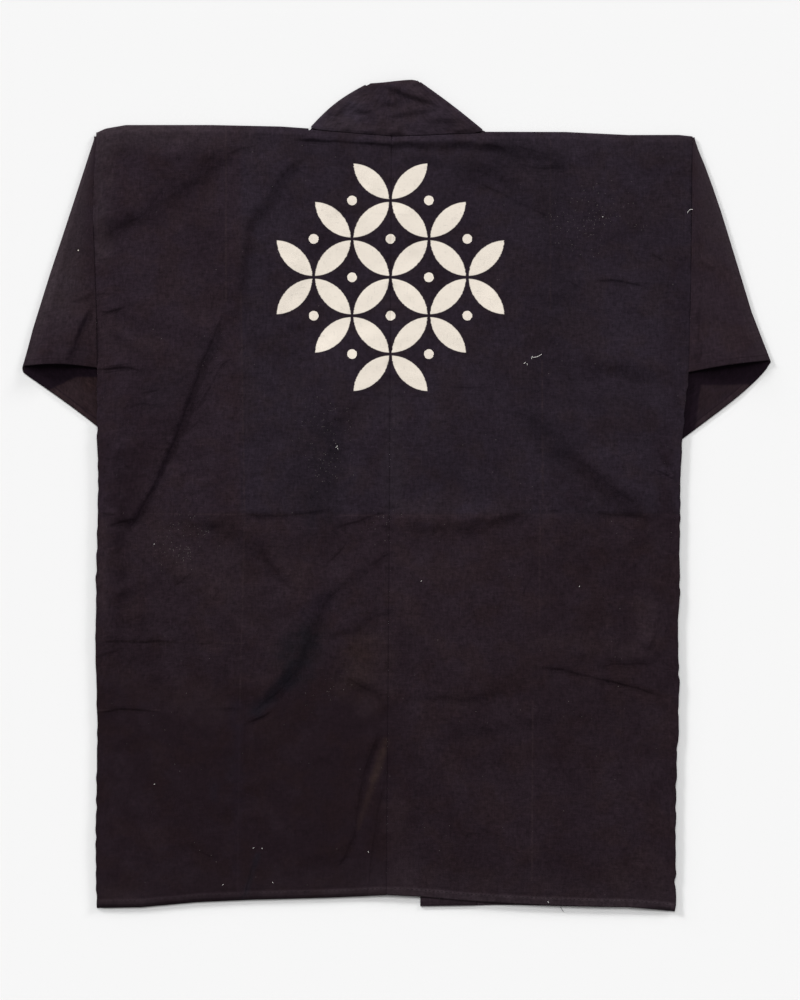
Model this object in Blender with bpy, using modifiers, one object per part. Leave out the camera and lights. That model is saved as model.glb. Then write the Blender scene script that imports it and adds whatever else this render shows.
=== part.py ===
"""Happi coat laid flat on its front, with the back uppermost.

The coat is cut from narrow cloth, as the real one is: each half of the body is one length that runs from
the back hem over the shoulder to the front hem, with no shoulder seam; the two lengths meet at the centre
back. A sleeve is one piece folded along its outer edge, open at the cuff. The collar is a double band sewn
up one front edge, round the neck and down the other, and it turns over at a mitre on each side of the neck.

Frame: metres, +Z up, +Y towards the collar, +X to the wearer's right, origin at the middle of the coat's
outline on the surface that it lies on. Every table below is in millimetres in that frame.
"""

import math
from collections import namedtuple

import bmesh
import bpy
import numpy as np

MM = 0.001

# Cloth and how its layers lie
CLOTH = 1.2  # wall of the body and sleeves
BAND = 2.2  # wall of the collar, which is cloth folded double round a stiffening strip
SEAM = 0.3  # gap between two pieces at a seam
UNDER = CLOTH / 2  # middle of the under layer, which rests on the surface
FOLD_RADIUS = 1.4  # middle of the cloth round the fold at a shoulder or a sleeve's outer edge
UPPER = UNDER + 2 * FOLD_RADIUS  # middle of the upper layer where it lies plain
BAND_UNDER = BAND / 2
BAND_UPPER = BAND_UNDER + 2 * FOLD_RADIUS
FOLD_STEPS = 6

# How the upper layer is shaped near its edges
SIDE_SEAM_LEVEL = UNDER + CLOTH + SEAM + 0.2  # where the back comes down onto the front
SIDE_ROLL = 14.0  # width over which the back rolls down to a side seam
SHOULDER_CALM = 26.0  # width over which the creases die out towards a fold or the neck
CUFF_LIFT = 2.0  # how far the upper layer of a cuff stands up from its plain level
CUFF_LIFT_FROM = 0.55  # share of the sleeve's length where that lift starts
ARMHOLE_EASE = 55.0  # length over which the back comes down below a sleeve
CORNER_REACH = 25.0  # how far from a point the readings are taken that round off a side's corners

# Upright edges, given as x at each y: the centre back seam, the line where the collar joins a front, the
# sleeve and side seam of each half, and the free edge of the collar on each front.
Upright = namedtuple("Upright", "y x")
CENTRE_BACK = [Upright(-433, -10.8), Upright(-100, -8.0), Upright(390, -5.0)]
FRONT_EDGE_LEFT = [Upright(-430, -104.0), Upright(397, -95.0)]
FRONT_EDGE_RIGHT = [Upright(-443, 86.5), Upright(393, 96.0)]
COLLAR_EDGE_LEFT = [Upright(-430, -45.5), Upright(300, -37.5), Upright(397, -36.5)]
COLLAR_EDGE_RIGHT = [Upright(-443, 26.2), Upright(300, 34.5), Upright(393, 35.5)]
SIDE_LEFT = [
    Upright(-446, -323.1),
    Upright(-394, -324.9),
    Upright(-312, -323.9),
    Upright(-221, -322.3),
    Upright(-178, -325.0),
    Upright(-92, -324.2),
    Upright(0, -322.0),
    Upright(74, -323.2),
    Upright(138, -323.0),
    Upright(205, -324.2),
    Upright(257, -326.4),
    Upright(325, -328.4),
    Upright(392, -323.4),
]
SIDE_RIGHT = [
    Upright(-450, 301.4),
    Upright(-372, 301.3),
    Upright(-307, 301.2),
    Upright(-253, 304.5),
    Upright(-189, 305.1),
    Upright(-156, 302.6),
    Upright(-112, 305.8),
    Upright(-26, 305.6),
    Upright(17, 306.7),
    Upright(63, 308.4),
    Upright(132, 315.6),
    Upright(232, 318.0),
    Upright(388, 319.6),
]

# Level edges, given as y at each x: the outermost line of each shoulder fold, the seam round the back of
# the neck, and the hems. The right front hangs a little below the back beside the centre.
Level = namedtuple("Level", "x y")
SHOULDER_LEFT = [
    Level(-323, 392.6),
    Level(-314, 396.8),
    Level(-292, 400.6),
    Level(-200, 400.6),
    Level(-125, 399.0),
    Level(-95, 396.9),
]
SHOULDER_RIGHT = [
    Level(96, 393.3),
    Level(182, 393.1),
    Level(250, 389.8),
    Level(305, 389.6),
    Level(320, 387.4),
]
NECK = [
    Level(-95, 395.4),
    Level(-62, 393.0),
    Level(-28, 390.1),
    Level(-2, 388.3),
    Level(30, 389.1),
    Level(65, 390.8),
    Level(96, 392.0),
]
HEM_BACK_LEFT = [
    Level(-325, -445.4),
    Level(-276, -444.9),
    Level(-215, -439.4),
    Level(-155, -436.8),
    Level(-70, -434.6),
    Level(-8, -432.6),
]
HEM_BACK_RIGHT = [
    Level(-11, -432.6),
    Level(25, -434.3),
    Level(77, -437.9),
    Level(125, -441.0),
    Level(167, -443.9),
    Level(250, -446.2),
    Level(303, -449.0),
]
HEM_FRONT_LEFT = [Level(-326, -439.5), Level(-200, -434.5), Level(-45, -430.0)]
HEM_FRONT_RIGHT = [Level(26, -442.8), Level(100, -442.2), Level(170, -443.4), Level(303, -445.0)]

# A sleeve's folded edge: how far its outermost line lies outside the straight one from shoulder to cuff, at
# shares of the way.
Bulge = namedtuple("Bulge", "share out")
BULGE_LEFT = [
    Bulge(0.0, 0.0),
    Bulge(0.13, 0.4),
    Bulge(0.32, 1.0),
    Bulge(0.46, 1.6),
    Bulge(0.59, 2.3),
    Bulge(0.84, 2.6),
    Bulge(0.92, 1.8),
    Bulge(1.0, 1.6),
]
BULGE_RIGHT = [
    Bulge(0.0, 0.0),
    Bulge(0.06, -0.1),
    Bulge(0.13, 1.1),
    Bulge(0.22, 1.7),
    Bulge(0.33, 1.8),
    Bulge(0.4, 1.4),
    Bulge(0.6, -0.1),
    Bulge(0.78, -1.4),
    Bulge(0.88, -0.2),
    Bulge(1.0, 1.4),
]
# A sleeve: both ends of that straight line, where its seams with the body end on the upper and under layers,
# how far the upper cuff edge bows towards the shoulder, how far the under one bows away from it, how far the
# under layer hangs below the tip, and the bulge of the folded edge.
Sleeve = namedtuple(
    "Sleeve", "top_x top_y tip_x tip_y upper_end_y under_end_y upper_bow under_bow tip_droop bulge"
)
SLEEVE_LEFT = Sleeve(-327.6, 382.0, -402.6, 140.5, 138.2, 74.5, 3.0, 1.4, 7.5, BULGE_LEFT)
SLEEVE_RIGHT = Sleeve(323.6, 381.0, 402.8, 146.5, 133.5, 59.7, 1.5, 8.0, 4.2, BULGE_RIGHT)
CUFF_BOW_NEARNESS = 4  # power of the share along the sleeve by which a bow dies out away from the cuff
TIP_DROOP_NEARNESS = 6  # the same for the hanging tip
UNDER_BOW_SKEW = 0.6  # power of the share across that brings the under bow towards the fold

# The collar where it turns over at each side of the neck: the outermost line of the mitre, from the seam
# to the free edge, and how far that line bows outwards in its middle.
Mitre = namedtuple("Mitre", "seam_x seam_y edge_x edge_y bow")
MITRE_LEFT = Mitre(-92.6, 398.6, -33.5, 444.2, 3.9)
MITRE_RIGHT = Mitre(93.4, 395.4, 25.4, 447.4, 1.0)

# The band between the mitres: where its seam and its free edge are, and how far it still bows.
Stage = namedtuple("Stage", "seam_x edge_x edge_y bow")
COLLAR_BACK = [
    Stage(-84, -28.0, 445.4, 2.2),
    Stage(-73, -22.5, 445.8, 1.2),
    Stage(-58, -16.0, 446.3, 0.5),
    Stage(-38, -9.5, 446.9, 0.0),
    Stage(-14, -4.0, 447.5, 0.0),
    Stage(12, 1.5, 448.1, 0.0),
    Stage(36, 6.5, 448.6, 0.0),
    Stage(56, 11.5, 449.1, 0.2),
    Stage(72, 16.5, 449.3, 0.4),
    Stage(85, 20.8, 448.6, 0.7),
]
# The band under the coat, on its way from a mitre to the hem: y at the seam and at the free edge.
Turn = namedtuple("Turn", "seam_y edge_y")
COLLAR_TURN = [
    Turn(393.5, 421.0),
    Turn(388.5, 403.0),
    Turn(380.0, 388.0),
    Turn(366.0, 369.0),
    Turn(340.0, 340.0),
]
COLLAR_RUN_STEPS = 10  # from there straight down to the hem

# Creases of the upper layer. Each follows a path of (x, y) points; rise is its height above the plain
# level, below nought for a trough, and half_width is the distance over which it falls to a third.
Crease = namedtuple("Crease", "rise half_width path")
CREASES = [
    # the long fold down the left back, from below the shoulder to the side
    Crease(2.1, 13, [(-184, 222), (-216, 133), (-250, 49), (-284, -26)]),
    Crease(-0.9, 12, [(-206, 215), (-238, 128), (-270, 50)]),
    # sweeps that run from the neck and the shoulder out to the left
    Crease(-0.5, 15, [(-118, 372), (-145, 330), (-160, 276), (-164, 222)]),
    Crease(1.1, 16, [(-148, 378), (-176, 334), (-190, 280)]),
    Crease(-0.9, 15, [(-171, 380), (-233, 330), (-306, 288)]),
    Crease(0.9, 16, [(-196, 384), (-262, 344)]),
    # the gathered valley under the collar
    Crease(-0.3, 9, [(-81, 380), (6, 376), (43, 367), (118, 376), (161, 360)]),
    Crease(0.9, 12, [(20, 356), (90, 362), (150, 338)]),
    # the crease left by folding the coat across the waist
    Crease(1.2, 9, [(-318, -23), (-163, -21), (-8, -23), (155, -18), (290, -25)]),
    # the broken folds in the lower left back
    Crease(-0.8, 13, [(-212, -34), (-158, -70), (-112, -108)]),
    Crease(1.5, 16, [(-160, -46), (-100, -72), (-40, -60)]),
    Crease(2.0, 14, [(-108, -112), (-132, -158), (-168, -214)]),
    Crease(-0.5, 15, [(-68, -104), (-86, -157), (-120, -210), (-161, -241)]),
    Crease(1.3, 10, [(-10, -124), (-68, -146)]),
    # the ridge that runs down beside the centre seam to the hem
    Crease(1.7, 11, [(-14, -244), (-31, -306), (-56, -390)]),
    Crease(1.2, 9, [(-154, -385), (-165, -438)]),
    # creases left by folding across the hips
    Crease(0.9, 9, [(-318, -157), (-170, -159)]),
    Crease(-0.4, 11, [(-160, -222), (-11, -227), (155, -212)]),
    # the right back: the slanting fold below the arm and the pucker above the hip
    Crease(2.0, 15, [(152, 92), (210, 36), (276, -16)]),
    Crease(-0.8, 16, [(150, 50), (202, 2), (250, -26)]),
    Crease(1.9, 10, [(161, -184), (220, -201), (279, -211)]),
    Crease(1.2, 11, [(168, -176), (272, -176)]),
    Crease(0.8, 12, [(216, 232), (262, 228)]),
]
CREASE_END = 0.25  # share of a crease's rise that is left at its ends
CREASE_SWELL = 0.8  # power of the half sine by which it swells in between
# Slow unevenness of cloth that was smoothed by hand: waves across and along, with their lengths.
Wave = namedtuple("Wave", "rise length_x length_y shift")
WAVES = [Wave(0.35, 310, 420, 0.4), Wave(0.25, 170, 260, 2.1), Wave(0.2, 480, 150, 4.0)]
LOWEST_DIP = -0.3  # below the plain level, where the collar lies underneath
HIGHEST_RISE = 2.3

# Grids
NECK_COLUMNS = 6
SIDE_COLUMNS = 12
ROLL_COLUMNS = (0.0, 4.0, 9.0)  # distances from the side seam of the last columns
BACK_ROWS = 46
CHEST_ROWS = 15  # of a front beside the sleeve
SKIRT_ROWS = 8  # of a front below it
SLEEVE_ROWS = 14
SLEEVE_COLUMNS = 5
COLLAR_COLUMNS = 5
PLACING_PASSES = 3  # times that x and y of a point of the body are worked out from each other

# Colours, linear
NAVY_BLACK = (0.016, 0.011, 0.014, 1.0)


def along(rows, where):
    """A table's second column where its first is `where`, on straight lines between its rows."""
    keys, values = zip(*rows)
    return float(np.interp(where, keys, values))


def rounded(rows, where):
    """The same with the table's corners rounded off: the mean of readings on both sides."""
    readings = [along(rows, where + CORNER_REACH * step) for step in (-1.0, -0.5, 0.0, 0.5, 1.0)]
    return sum(readings) / len(readings)


def mix(a, b, share):
    return a + (b - a) * share


def smooth(share):
    """Nought below 0, one above 1, and an easy curve between."""
    share = min(max(share, 0.0), 1.0)
    return share * share * (3 - 2 * share)


def crease_height(crease, x, y):
    """A bell across the crease's path, which fades to nothing at both ends of the path."""
    points = np.array(crease.path, float)
    steps = np.diff(points, axis=0)
    lengths = np.hypot(steps[:, 0], steps[:, 1])
    starts = np.concatenate([[0.0], np.cumsum(lengths)[:-1]])
    offset = np.array((x, y)) - points[:-1]
    share = np.clip((offset * steps).sum(1) / lengths**2, 0, 1)
    away = np.hypot(*(offset - share[:, None] * steps).T)
    nearest = int(away.argmin())
    run = (starts[nearest] + share[nearest] * lengths[nearest]) / lengths.sum()
    fade = mix(CREASE_END, 1.0, math.sin(math.pi * run) ** CREASE_SWELL)
    return crease.rise * fade * math.exp(-((away[nearest] / crease.half_width) ** 2))


def wave_height(wave, x, y):
    return wave.rise * math.sin(2 * math.pi * (x / wave.length_x + y / wave.length_y) + wave.shift)


def unevenness(x, y):
    """Creases and slow waves together, kept clear of the layer below."""
    height = sum(crease_height(c, x, y) for c in CREASES) + sum(wave_height(w, x, y) for w in WAVES)
    return min(max(height, LOWEST_DIP), HIGHEST_RISE)


Half = namedtuple("Half", "side front_edge shoulder hem_back hem_front sleeve outward")
HALVES = {
    "left": Half(SIDE_LEFT, FRONT_EDGE_LEFT, SHOULDER_LEFT, HEM_BACK_LEFT, HEM_FRONT_LEFT, SLEEVE_LEFT, -1),
    "right": Half(SIDE_RIGHT, FRONT_EDGE_RIGHT, SHOULDER_RIGHT, HEM_BACK_RIGHT, HEM_FRONT_RIGHT, SLEEVE_RIGHT, 1),
}


def back_level(half, x, y, top):
    """Height of the middle of the upper layer of the body."""
    from_side = abs(rounded(half.side, y) - x)
    below_sleeve = smooth((half.sleeve.upper_end_y - y) / ARMHOLE_EASE)
    calm = smooth((top - y) / SHOULDER_CALM) * smooth(from_side / (2 * SIDE_ROLL))
    roll = (1 - smooth(from_side / SIDE_ROLL)) * below_sleeve
    return UPPER + calm * unevenness(x, y) - roll * (UPPER - SIDE_SEAM_LEVEL)


def body_columns():
    """Columns from the centre back to the side: (part, share), where the part is neck, side or roll."""
    neck = [("neck", i / NECK_COLUMNS) for i in range(NECK_COLUMNS)]
    side = [("side", i / SIDE_COLUMNS) for i in range(SIDE_COLUMNS + 1)]
    roll = [("roll", distance) for distance in sorted(ROLL_COLUMNS[:-1], reverse=True)]
    return neck + side + roll


def column_x(half, column, y):
    """Where a column of the body crosses the height y."""
    part, share = column
    front_edge = along(half.front_edge, y)
    side = rounded(half.side, y)
    last = side - half.outward * ROLL_COLUMNS[-1]
    if part == "neck":
        return mix(along(CENTRE_BACK, y) + half.outward * SEAM / 2, front_edge, share)
    if part == "side":
        return mix(front_edge, last, share)
    return side - half.outward * share


def body_rows():
    """Rows from the back hem over the shoulder to the front hem: (part, share)."""
    back = [("back", i / BACK_ROWS) for i in range(BACK_ROWS + 1)]
    fold = [("fold", i / FOLD_STEPS) for i in range(1, FOLD_STEPS)]
    chest = [("chest", i / CHEST_ROWS) for i in range(CHEST_ROWS + 1)]
    skirt = [("skirt", i / SKIRT_ROWS) for i in range(1, SKIRT_ROWS + 1)]
    return back + fold + chest + skirt


def body_point(half, column, row):
    """A point in the middle of a body length's cloth."""
    part, share = row
    reach = FOLD_RADIUS + CLOTH / 2
    x = column_x(half, column, 0.0)
    y = 0.0
    for _ in range(PLACING_PASSES):
        fold_y = along(half.shoulder, x) - reach
        top = min(along(NECK, x) - SEAM / 2, fold_y) if column[0] == "neck" else fold_y
        if part == "back":
            y = mix(along(half.hem_back, x), top, share)
        elif part == "fold":
            y = fold_y
        elif part == "chest":
            y = mix(fold_y, half.sleeve.under_end_y, share)
        else:
            y = mix(half.sleeve.under_end_y, along(half.hem_front, x), share)
        x = column_x(half, column, y)
    if part == "back":
        return x, y, back_level(half, x, y, top)
    if part in ("chest", "skirt"):
        return x, y, UNDER
    turn = math.pi * share
    return x, y + FOLD_RADIUS * math.sin(turn), UNDER + FOLD_RADIUS * (1 + math.cos(turn))


def sleeve_point(half, column, share):
    """A point in the middle of a sleeve's cloth; share runs from the shoulder down to the cuff."""
    part, across = column
    s = half.sleeve
    outer = np.array((mix(s.top_x, s.tip_x, share), mix(s.top_y, s.tip_y, share)))
    run = np.array((s.tip_x - s.top_x, s.tip_y - s.top_y))
    outward = np.array((-run[1], run[0])) / np.hypot(*run) * half.outward
    core = outer + outward * (along(s.bulge, share) - FOLD_RADIUS - CLOTH / 2)
    hang = s.tip_droop * share**TIP_DROOP_NEARNESS
    if part == "fold":
        turn = math.pi * across
        x, y = core + outward * FOLD_RADIUS * math.sin(turn)
        return x, y - hang * smooth(across), UNDER + FOLD_RADIUS * (1 + math.cos(turn))
    end_y = s.upper_end_y if part == "upper" else s.under_end_y
    seam_y = mix(s.top_y, end_y, share)
    seam = np.array((rounded(half.side, seam_y) + half.outward * SEAM, seam_y))
    if part == "upper":
        x, y = mix(seam, core, across)
        y += s.upper_bow * share**CUFF_BOW_NEARNESS * math.sin(math.pi * across)
        lift = smooth((share - CUFF_LIFT_FROM) / (1 - CUFF_LIFT_FROM)) * math.sin(math.pi * across)
        return x, y, UPPER + CUFF_LIFT * lift
    x, y = mix(core, seam, across)
    y -= s.under_bow * share**CUFF_BOW_NEARNESS * math.sin(math.pi * across**UNDER_BOW_SKEW)
    return x, y - hang * (1 - across) ** 2, UNDER


def sleeve_columns():
    """Columns from the seam with the back round the outer edge to the seam with the front."""
    upper = [("upper", i / SLEEVE_COLUMNS) for i in range(SLEEVE_COLUMNS + 1)]
    fold = [("fold", i / FOLD_STEPS) for i in range(1, FOLD_STEPS)]
    under = [("under", i / SLEEVE_COLUMNS) for i in range(SLEEVE_COLUMNS + 1)]
    return upper + fold + under


# A station of the collar: both ends of a line across the band, its height, and its bow with the way it bows.
Station = namedtuple("Station", "seam edge level bow outward")


def mitre_stations(mitre, side):
    """Stations round the fold at a mitre, from the top of the coat to the underside."""
    seam = np.array((mitre.seam_x, mitre.seam_y))
    edge = np.array((mitre.edge_x, mitre.edge_y))
    run = (edge - seam) / np.hypot(*(edge - seam))
    outward = np.array((run[1], -run[0])) * side
    core = -(FOLD_RADIUS + BAND / 2)
    stations = []
    for i in range(FOLD_STEPS + 1):
        turn = math.pi * i / FOLD_STEPS
        shift = outward * (core + FOLD_RADIUS * math.sin(turn))
        level = BAND_UNDER + FOLD_RADIUS * (1 + math.cos(turn))
        stations.append(Station(seam + shift, edge + shift, level, mitre.bow, outward))
    return stations


def front_stations(front_edge, collar_edge, hem, side):
    """Stations of the band under the coat, from beside a mitre down to the hem."""
    stations = []
    nowhere = np.zeros(2)
    for turn in COLLAR_TURN:
        seam = np.array((along(front_edge, turn.seam_y) - side * SEAM, turn.seam_y))
        edge = np.array((along(collar_edge, turn.edge_y), turn.edge_y))
        stations.append(Station(seam, edge, BAND_UNDER, 0.0, nowhere))
    start = COLLAR_TURN[-1].seam_y
    for i in range(1, COLLAR_RUN_STEPS + 1):
        ends = []
        for edge_line, gap in ((front_edge, -side * SEAM), (collar_edge, 0.0)):
            x = along(edge_line, start)
            y = mix(start, along(hem, x), i / COLLAR_RUN_STEPS)
            ends.append(np.array((along(edge_line, y) + gap, y)))
        stations.append(Station(*ends, BAND_UNDER, 0.0, nowhere))
    return stations


def collar_stations():
    """The whole band, from the left front hem round the back of the neck to the right front hem."""
    left = mitre_stations(MITRE_LEFT, -1)
    right = mitre_stations(MITRE_RIGHT, 1)
    back = []
    for stage in COLLAR_BACK:
        seam = np.array((stage.seam_x, along(NECK, stage.seam_x) + SEAM / 2))
        edge = np.array((stage.edge_x, stage.edge_y))
        outward = left[0].outward if stage.seam_x < 0 else right[0].outward
        back.append(Station(seam, edge, BAND_UPPER, stage.bow, outward))
    left_front = front_stations(FRONT_EDGE_LEFT, COLLAR_EDGE_LEFT, HEM_FRONT_LEFT, -1)
    right_front = front_stations(FRONT_EDGE_RIGHT, COLLAR_EDGE_RIGHT, HEM_FRONT_RIGHT, 1)
    return left_front[::-1] + left[::-1] + back + right + right_front


def collar_point(station, across):
    bow = station.bow * math.sin(math.pi * across) * station.outward
    x, y = mix(station.seam, station.edge, across) + bow
    return x, y, station.level


def cloth_material(name, colour):
    material = bpy.data.materials.new(name)
    material.use_nodes = True
    shader = material.node_tree.nodes["Principled BSDF"]
    shader.inputs["Base Color"].default_value = colour
    shader.inputs["Roughness"].default_value = 0.9
    shader.inputs["Metallic"].default_value = 0.0
    return material


def cloth_piece(name, columns, rows, place, wall, material, collection, keep=lambda column, row: True):
    """A sheet of cloth: a grid whose points are put in place one by one, given its wall by Solidify.

    place(column, row) gives the middle of the cloth in millimetres; keep says which points are cloth.
    """
    sheet = bmesh.new()
    bmesh.ops.create_grid(sheet, x_segments=len(columns) - 1, y_segments=len(rows) - 1, size=0.5)
    outside = []
    for vertex in sheet.verts:
        i = round((vertex.co.x + 0.5) * (len(columns) - 1))
        j = round((vertex.co.y + 0.5) * (len(rows) - 1))
        if keep(columns[i], rows[j]):
            vertex.co = [value * MM for value in place(columns[i], rows[j])]
        else:
            outside.append(vertex)
    bmesh.ops.delete(sheet, geom=outside, context="VERTS")
    mesh = bpy.data.meshes.new(name)
    sheet.to_mesh(mesh)
    sheet.free()
    mesh.shade_smooth()
    mesh.materials.append(material)
    piece = bpy.data.objects.new(name, mesh)
    collection.objects.link(piece)
    solidify = piece.modifiers.new("wall", "SOLIDIFY")
    solidify.thickness = wall * MM
    solidify.offset = 0.0
    return piece


def in_body(column, row):
    """A front stops at the collar, so the columns across the neck end at the back neck seam."""
    return column[0] != "neck" or row[0] == "back"


def make_coat():
    collection = bpy.data.collections.new("happi_coat")
    bpy.context.scene.collection.children.link(collection)
    cotton = cloth_material("black_cotton", NAVY_BLACK)
    for side, half in HALVES.items():
        cloth_piece(
            f"body_{side}",
            body_columns(),
            body_rows(),
            lambda column, row, half=half: body_point(half, column, row),
            CLOTH,
            cotton,
            collection,
            keep=in_body,
        )
        cloth_piece(
            f"sleeve_{side}",
            sleeve_columns(),
            [i / SLEEVE_ROWS for i in range(SLEEVE_ROWS + 1)],
            lambda column, row, half=half: sleeve_point(half, column, row),
            CLOTH,
            cotton,
            collection,
        )
    cloth_piece(
        "collar",
        [i / COLLAR_COLUMNS for i in range(COLLAR_COLUMNS + 1)],
        collar_stations(),
        lambda across, station: collar_point(station, across),
        BAND,
        cotton,
        collection,
    )


for old in list(bpy.data.objects):
    bpy.data.objects.remove(old)
make_coat()
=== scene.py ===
"""Happi coat laid flat on its front with the back uppermost, finished in its cloth.

Each CAD solid is replaced by the cloth that it stands for: two body lengths that run from the back hem over
the shoulder to the front hem, two sleeves folded along their outer edges, and the double band of the collar.
The back carries a patch of the seven-treasures lattice in undyed cloth. Stitches, loose ends and lint are
pieces of their own.

Frame: +Z up, +Y towards the collar, +X to the wearer's right, origin at the middle of the coat's outline on
the surface that it lies on. Tables are in millimetres and meshes in metres.
"""

import math
from collections import namedtuple

import bpy
import numpy as np
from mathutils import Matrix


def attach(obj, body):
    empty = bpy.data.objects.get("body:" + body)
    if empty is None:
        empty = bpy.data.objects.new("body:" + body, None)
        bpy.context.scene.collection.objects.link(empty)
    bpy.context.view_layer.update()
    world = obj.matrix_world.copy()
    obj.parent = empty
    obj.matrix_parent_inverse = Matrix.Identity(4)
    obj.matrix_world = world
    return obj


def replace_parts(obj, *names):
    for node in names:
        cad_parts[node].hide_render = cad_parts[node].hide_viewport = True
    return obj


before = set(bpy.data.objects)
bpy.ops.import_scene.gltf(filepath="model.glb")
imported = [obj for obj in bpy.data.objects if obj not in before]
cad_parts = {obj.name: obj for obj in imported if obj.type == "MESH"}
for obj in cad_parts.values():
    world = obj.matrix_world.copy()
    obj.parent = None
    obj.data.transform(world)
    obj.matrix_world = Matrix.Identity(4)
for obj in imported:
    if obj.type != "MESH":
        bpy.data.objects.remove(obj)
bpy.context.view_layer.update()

MM = 0.001

# Sizes of the cloth and how its layers lie
CLOTH = 1.2  # wall of the body and sleeves
BAND = 2.2  # wall of the collar, cloth folded double round a stiffening strip
SEAM = 0.3  # gap between the two halves at the centre seam
ARMHOLE_GAP = 0.03
NECK_GAP = 0.10
BAND_GAP = 0.05
UNDER = CLOTH / 2  # middle of the under layer
FOLD_RADIUS = 1.4  # middle of the cloth round a fold
UPPER = UNDER + 2 * FOLD_RADIUS  # middle of the upper layer where it lies plain
BAND_UNDER = BAND / 2
BAND_UPPER = BAND_UNDER + 2 * FOLD_RADIUS
BACK_LENGTH, FOLD_LENGTH = 838.0, 4.4  # cloth from hem to shoulder, and round the shoulder's fold
SLEEVE_WIDTH, SLEEVE_LENGTH, SLEEVE_FOLD = 76.0, 250.0, 8.0  # one layer across, its length, and the fold
BAND_WIDTH = 59.0
HEM_BAND = 9.0  # width of the turned-up hem
HEM_RISE = 0.55  # how much the turned-up cloth raises it
HEM_FALL = 2.2  # how far the hem's very edge drops towards the surface where no front lies under it
CUFF_BAND = 6.0
BACK_RISE = 1.6  # how far the crumpled back stands off its lowest level
TUCK = 2.0  # how far the under layer's side seam lies inside the upper one's
ALLOWANCE = 8.0  # half the width of a strip of seam allowance
ALLOWANCE_WALL = 0.3
ALLOWANCE_DROP = 0.3  # how far its middle lies below the cloth above it
CREASE_END = 14.0  # length over which a crease dies away at each end
THREAD = 0.22  # radius of threads and fibres
FOLD_LEAST = 0.4  # width left between a sleeve's seam and its fold at the shoulder
BACK_TOP = 390.0  # height at which the back's cloth turns over the shoulder
WARP_PITCH, WEFT_PITCH = 0.00062, 0.00068  # from yarn to yarn, in metres
MEAN_SHADE = 0.97  # mean shade of the weave
BACK_END = 0.84  # cloth coordinates, in metres, where the back ends and where a sleeve's inside begins
SLEEVE_INSIDE = 0.081

# Upright edges, x at each y
CENTRE_BACK = [(-433, -10.8), (-100, -8), (390, -5)]
FRONT_EDGE_LEFT = [(-430, -104), (397, -95)]
FRONT_EDGE_RIGHT = [(-443, 86.5), (393, 96)]
COLLAR_EDGE_LEFT = [(-430, -45.5), (300, -37.5), (397, -36.5)]
COLLAR_EDGE_RIGHT = [(-443, 25.6), (300, 34.5), (393, 35.5)]
SIDE_LEFT = [
    (-446, -323.1), (-394, -324.9), (-312, -323.9), (-221, -322.3), (-178, -325), (-92, -324.2), (0, -322),
    (74, -323.2), (138, -323), (205, -324.2), (257, -326.4), (325, -328.4), (392, -323.4),
]
SIDE_RIGHT = [
    (-450, 301.4), (-372, 301.3), (-307, 301.2), (-253, 304.5), (-189, 305.1), (-156, 302.6), (-112, 305.8),
    (-26, 305.6), (17, 306.7), (63, 308.4), (132, 315.6), (232, 318), (388, 319.6),
]

# Level edges, y at each x
SHOULDER_LEFT = [(-323, 392.6), (-314, 396.8), (-292, 400.6), (-200, 400.6), (-125, 399), (-95, 396.9)]
SHOULDER_RIGHT = [(96, 393.3), (182, 393.1), (250, 389.8), (305, 389.9), (320, 388.2)]
NECK = [(-95, 395.4), (-62, 393), (-28, 390.1), (-2, 388.3), (30, 389.1), (65, 390.8), (96, 392)]
HEM_BACK_LEFT = [(-325, -444.6), (-276, -443.8), (-215, -438.2), (-155, -435.6), (-70, -433.4), (-8, -430.6)]
HEM_BACK_RIGHT = [
    (-11, -430.6), (25, -432.4), (77, -437), (125, -440), (167, -441.9), (200, -443), (222, -443.5), (250, -443.8),
    (268, -445.2), (285, -446.7), (303, -448.5),
]
HEM_FRONT_LEFT = [(-326, -439.5), (-200, -434.5), (-45, -430)]
HEM_FRONT_RIGHT = [
    (25, -442.8), (80, -442.2), (105, -441.4), (130, -441.6), (180, -442.8), (222, -443.7), (303, -444.6),
]

# A sleeve's outer fold from shoulder to cuff tip, where its seams end on each layer, how its cuff bows, how
# far the under layer hangs below the tip, how far the upper layer stands up at the cuff, most at lift_across
# of the way from the body to the fold, and how far the fold lies outside the straight line at shares of it
Sleeve = namedtuple(
    "Sleeve",
    "top_x top_y tip_x tip_y upper_end_y under_end_y upper_bow under_bow tip_droop lift lift_across bulge",
)
BULGE_LEFT = [(0, 0), (0.13, 0.4), (0.32, 1), (0.46, 1.6), (0.59, 2.3), (0.84, 2.6), (0.92, 1.8), (1, 1.6)]
BULGE_RIGHT = [
    (0, 0), (0.06, -0.1), (0.13, 1.1), (0.22, 1.7), (0.33, 1.8), (0.4, 1.4), (0.6, -0.1), (0.78, -1.4), (0.88, -0.2),
    (1, 1.4),
]
SLEEVE_LEFT = Sleeve(-325.5, 388.5, -402.6, 140.5, 138.2, 73.2, 3.0, 0.8, 7.5, 8.5, 0.66, BULGE_LEFT)
SLEEVE_RIGHT = Sleeve(321.4, 387.5, 402.8, 146.5, 133.5, 59.7, 1.5, 6.8, 4.2, 6.5, 0.45, BULGE_RIGHT)

Half = namedtuple("Half", "side outward edge front_edge shoulder hem_back hem_front sleeve")
LEFT = Half("left", -1, SIDE_LEFT, FRONT_EDGE_LEFT, SHOULDER_LEFT, HEM_BACK_LEFT, HEM_FRONT_LEFT, SLEEVE_LEFT)
RIGHT = Half(
    "right", 1, SIDE_RIGHT, FRONT_EDGE_RIGHT, SHOULDER_RIGHT, HEM_BACK_RIGHT, HEM_FRONT_RIGHT, SLEEVE_RIGHT
)

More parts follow.
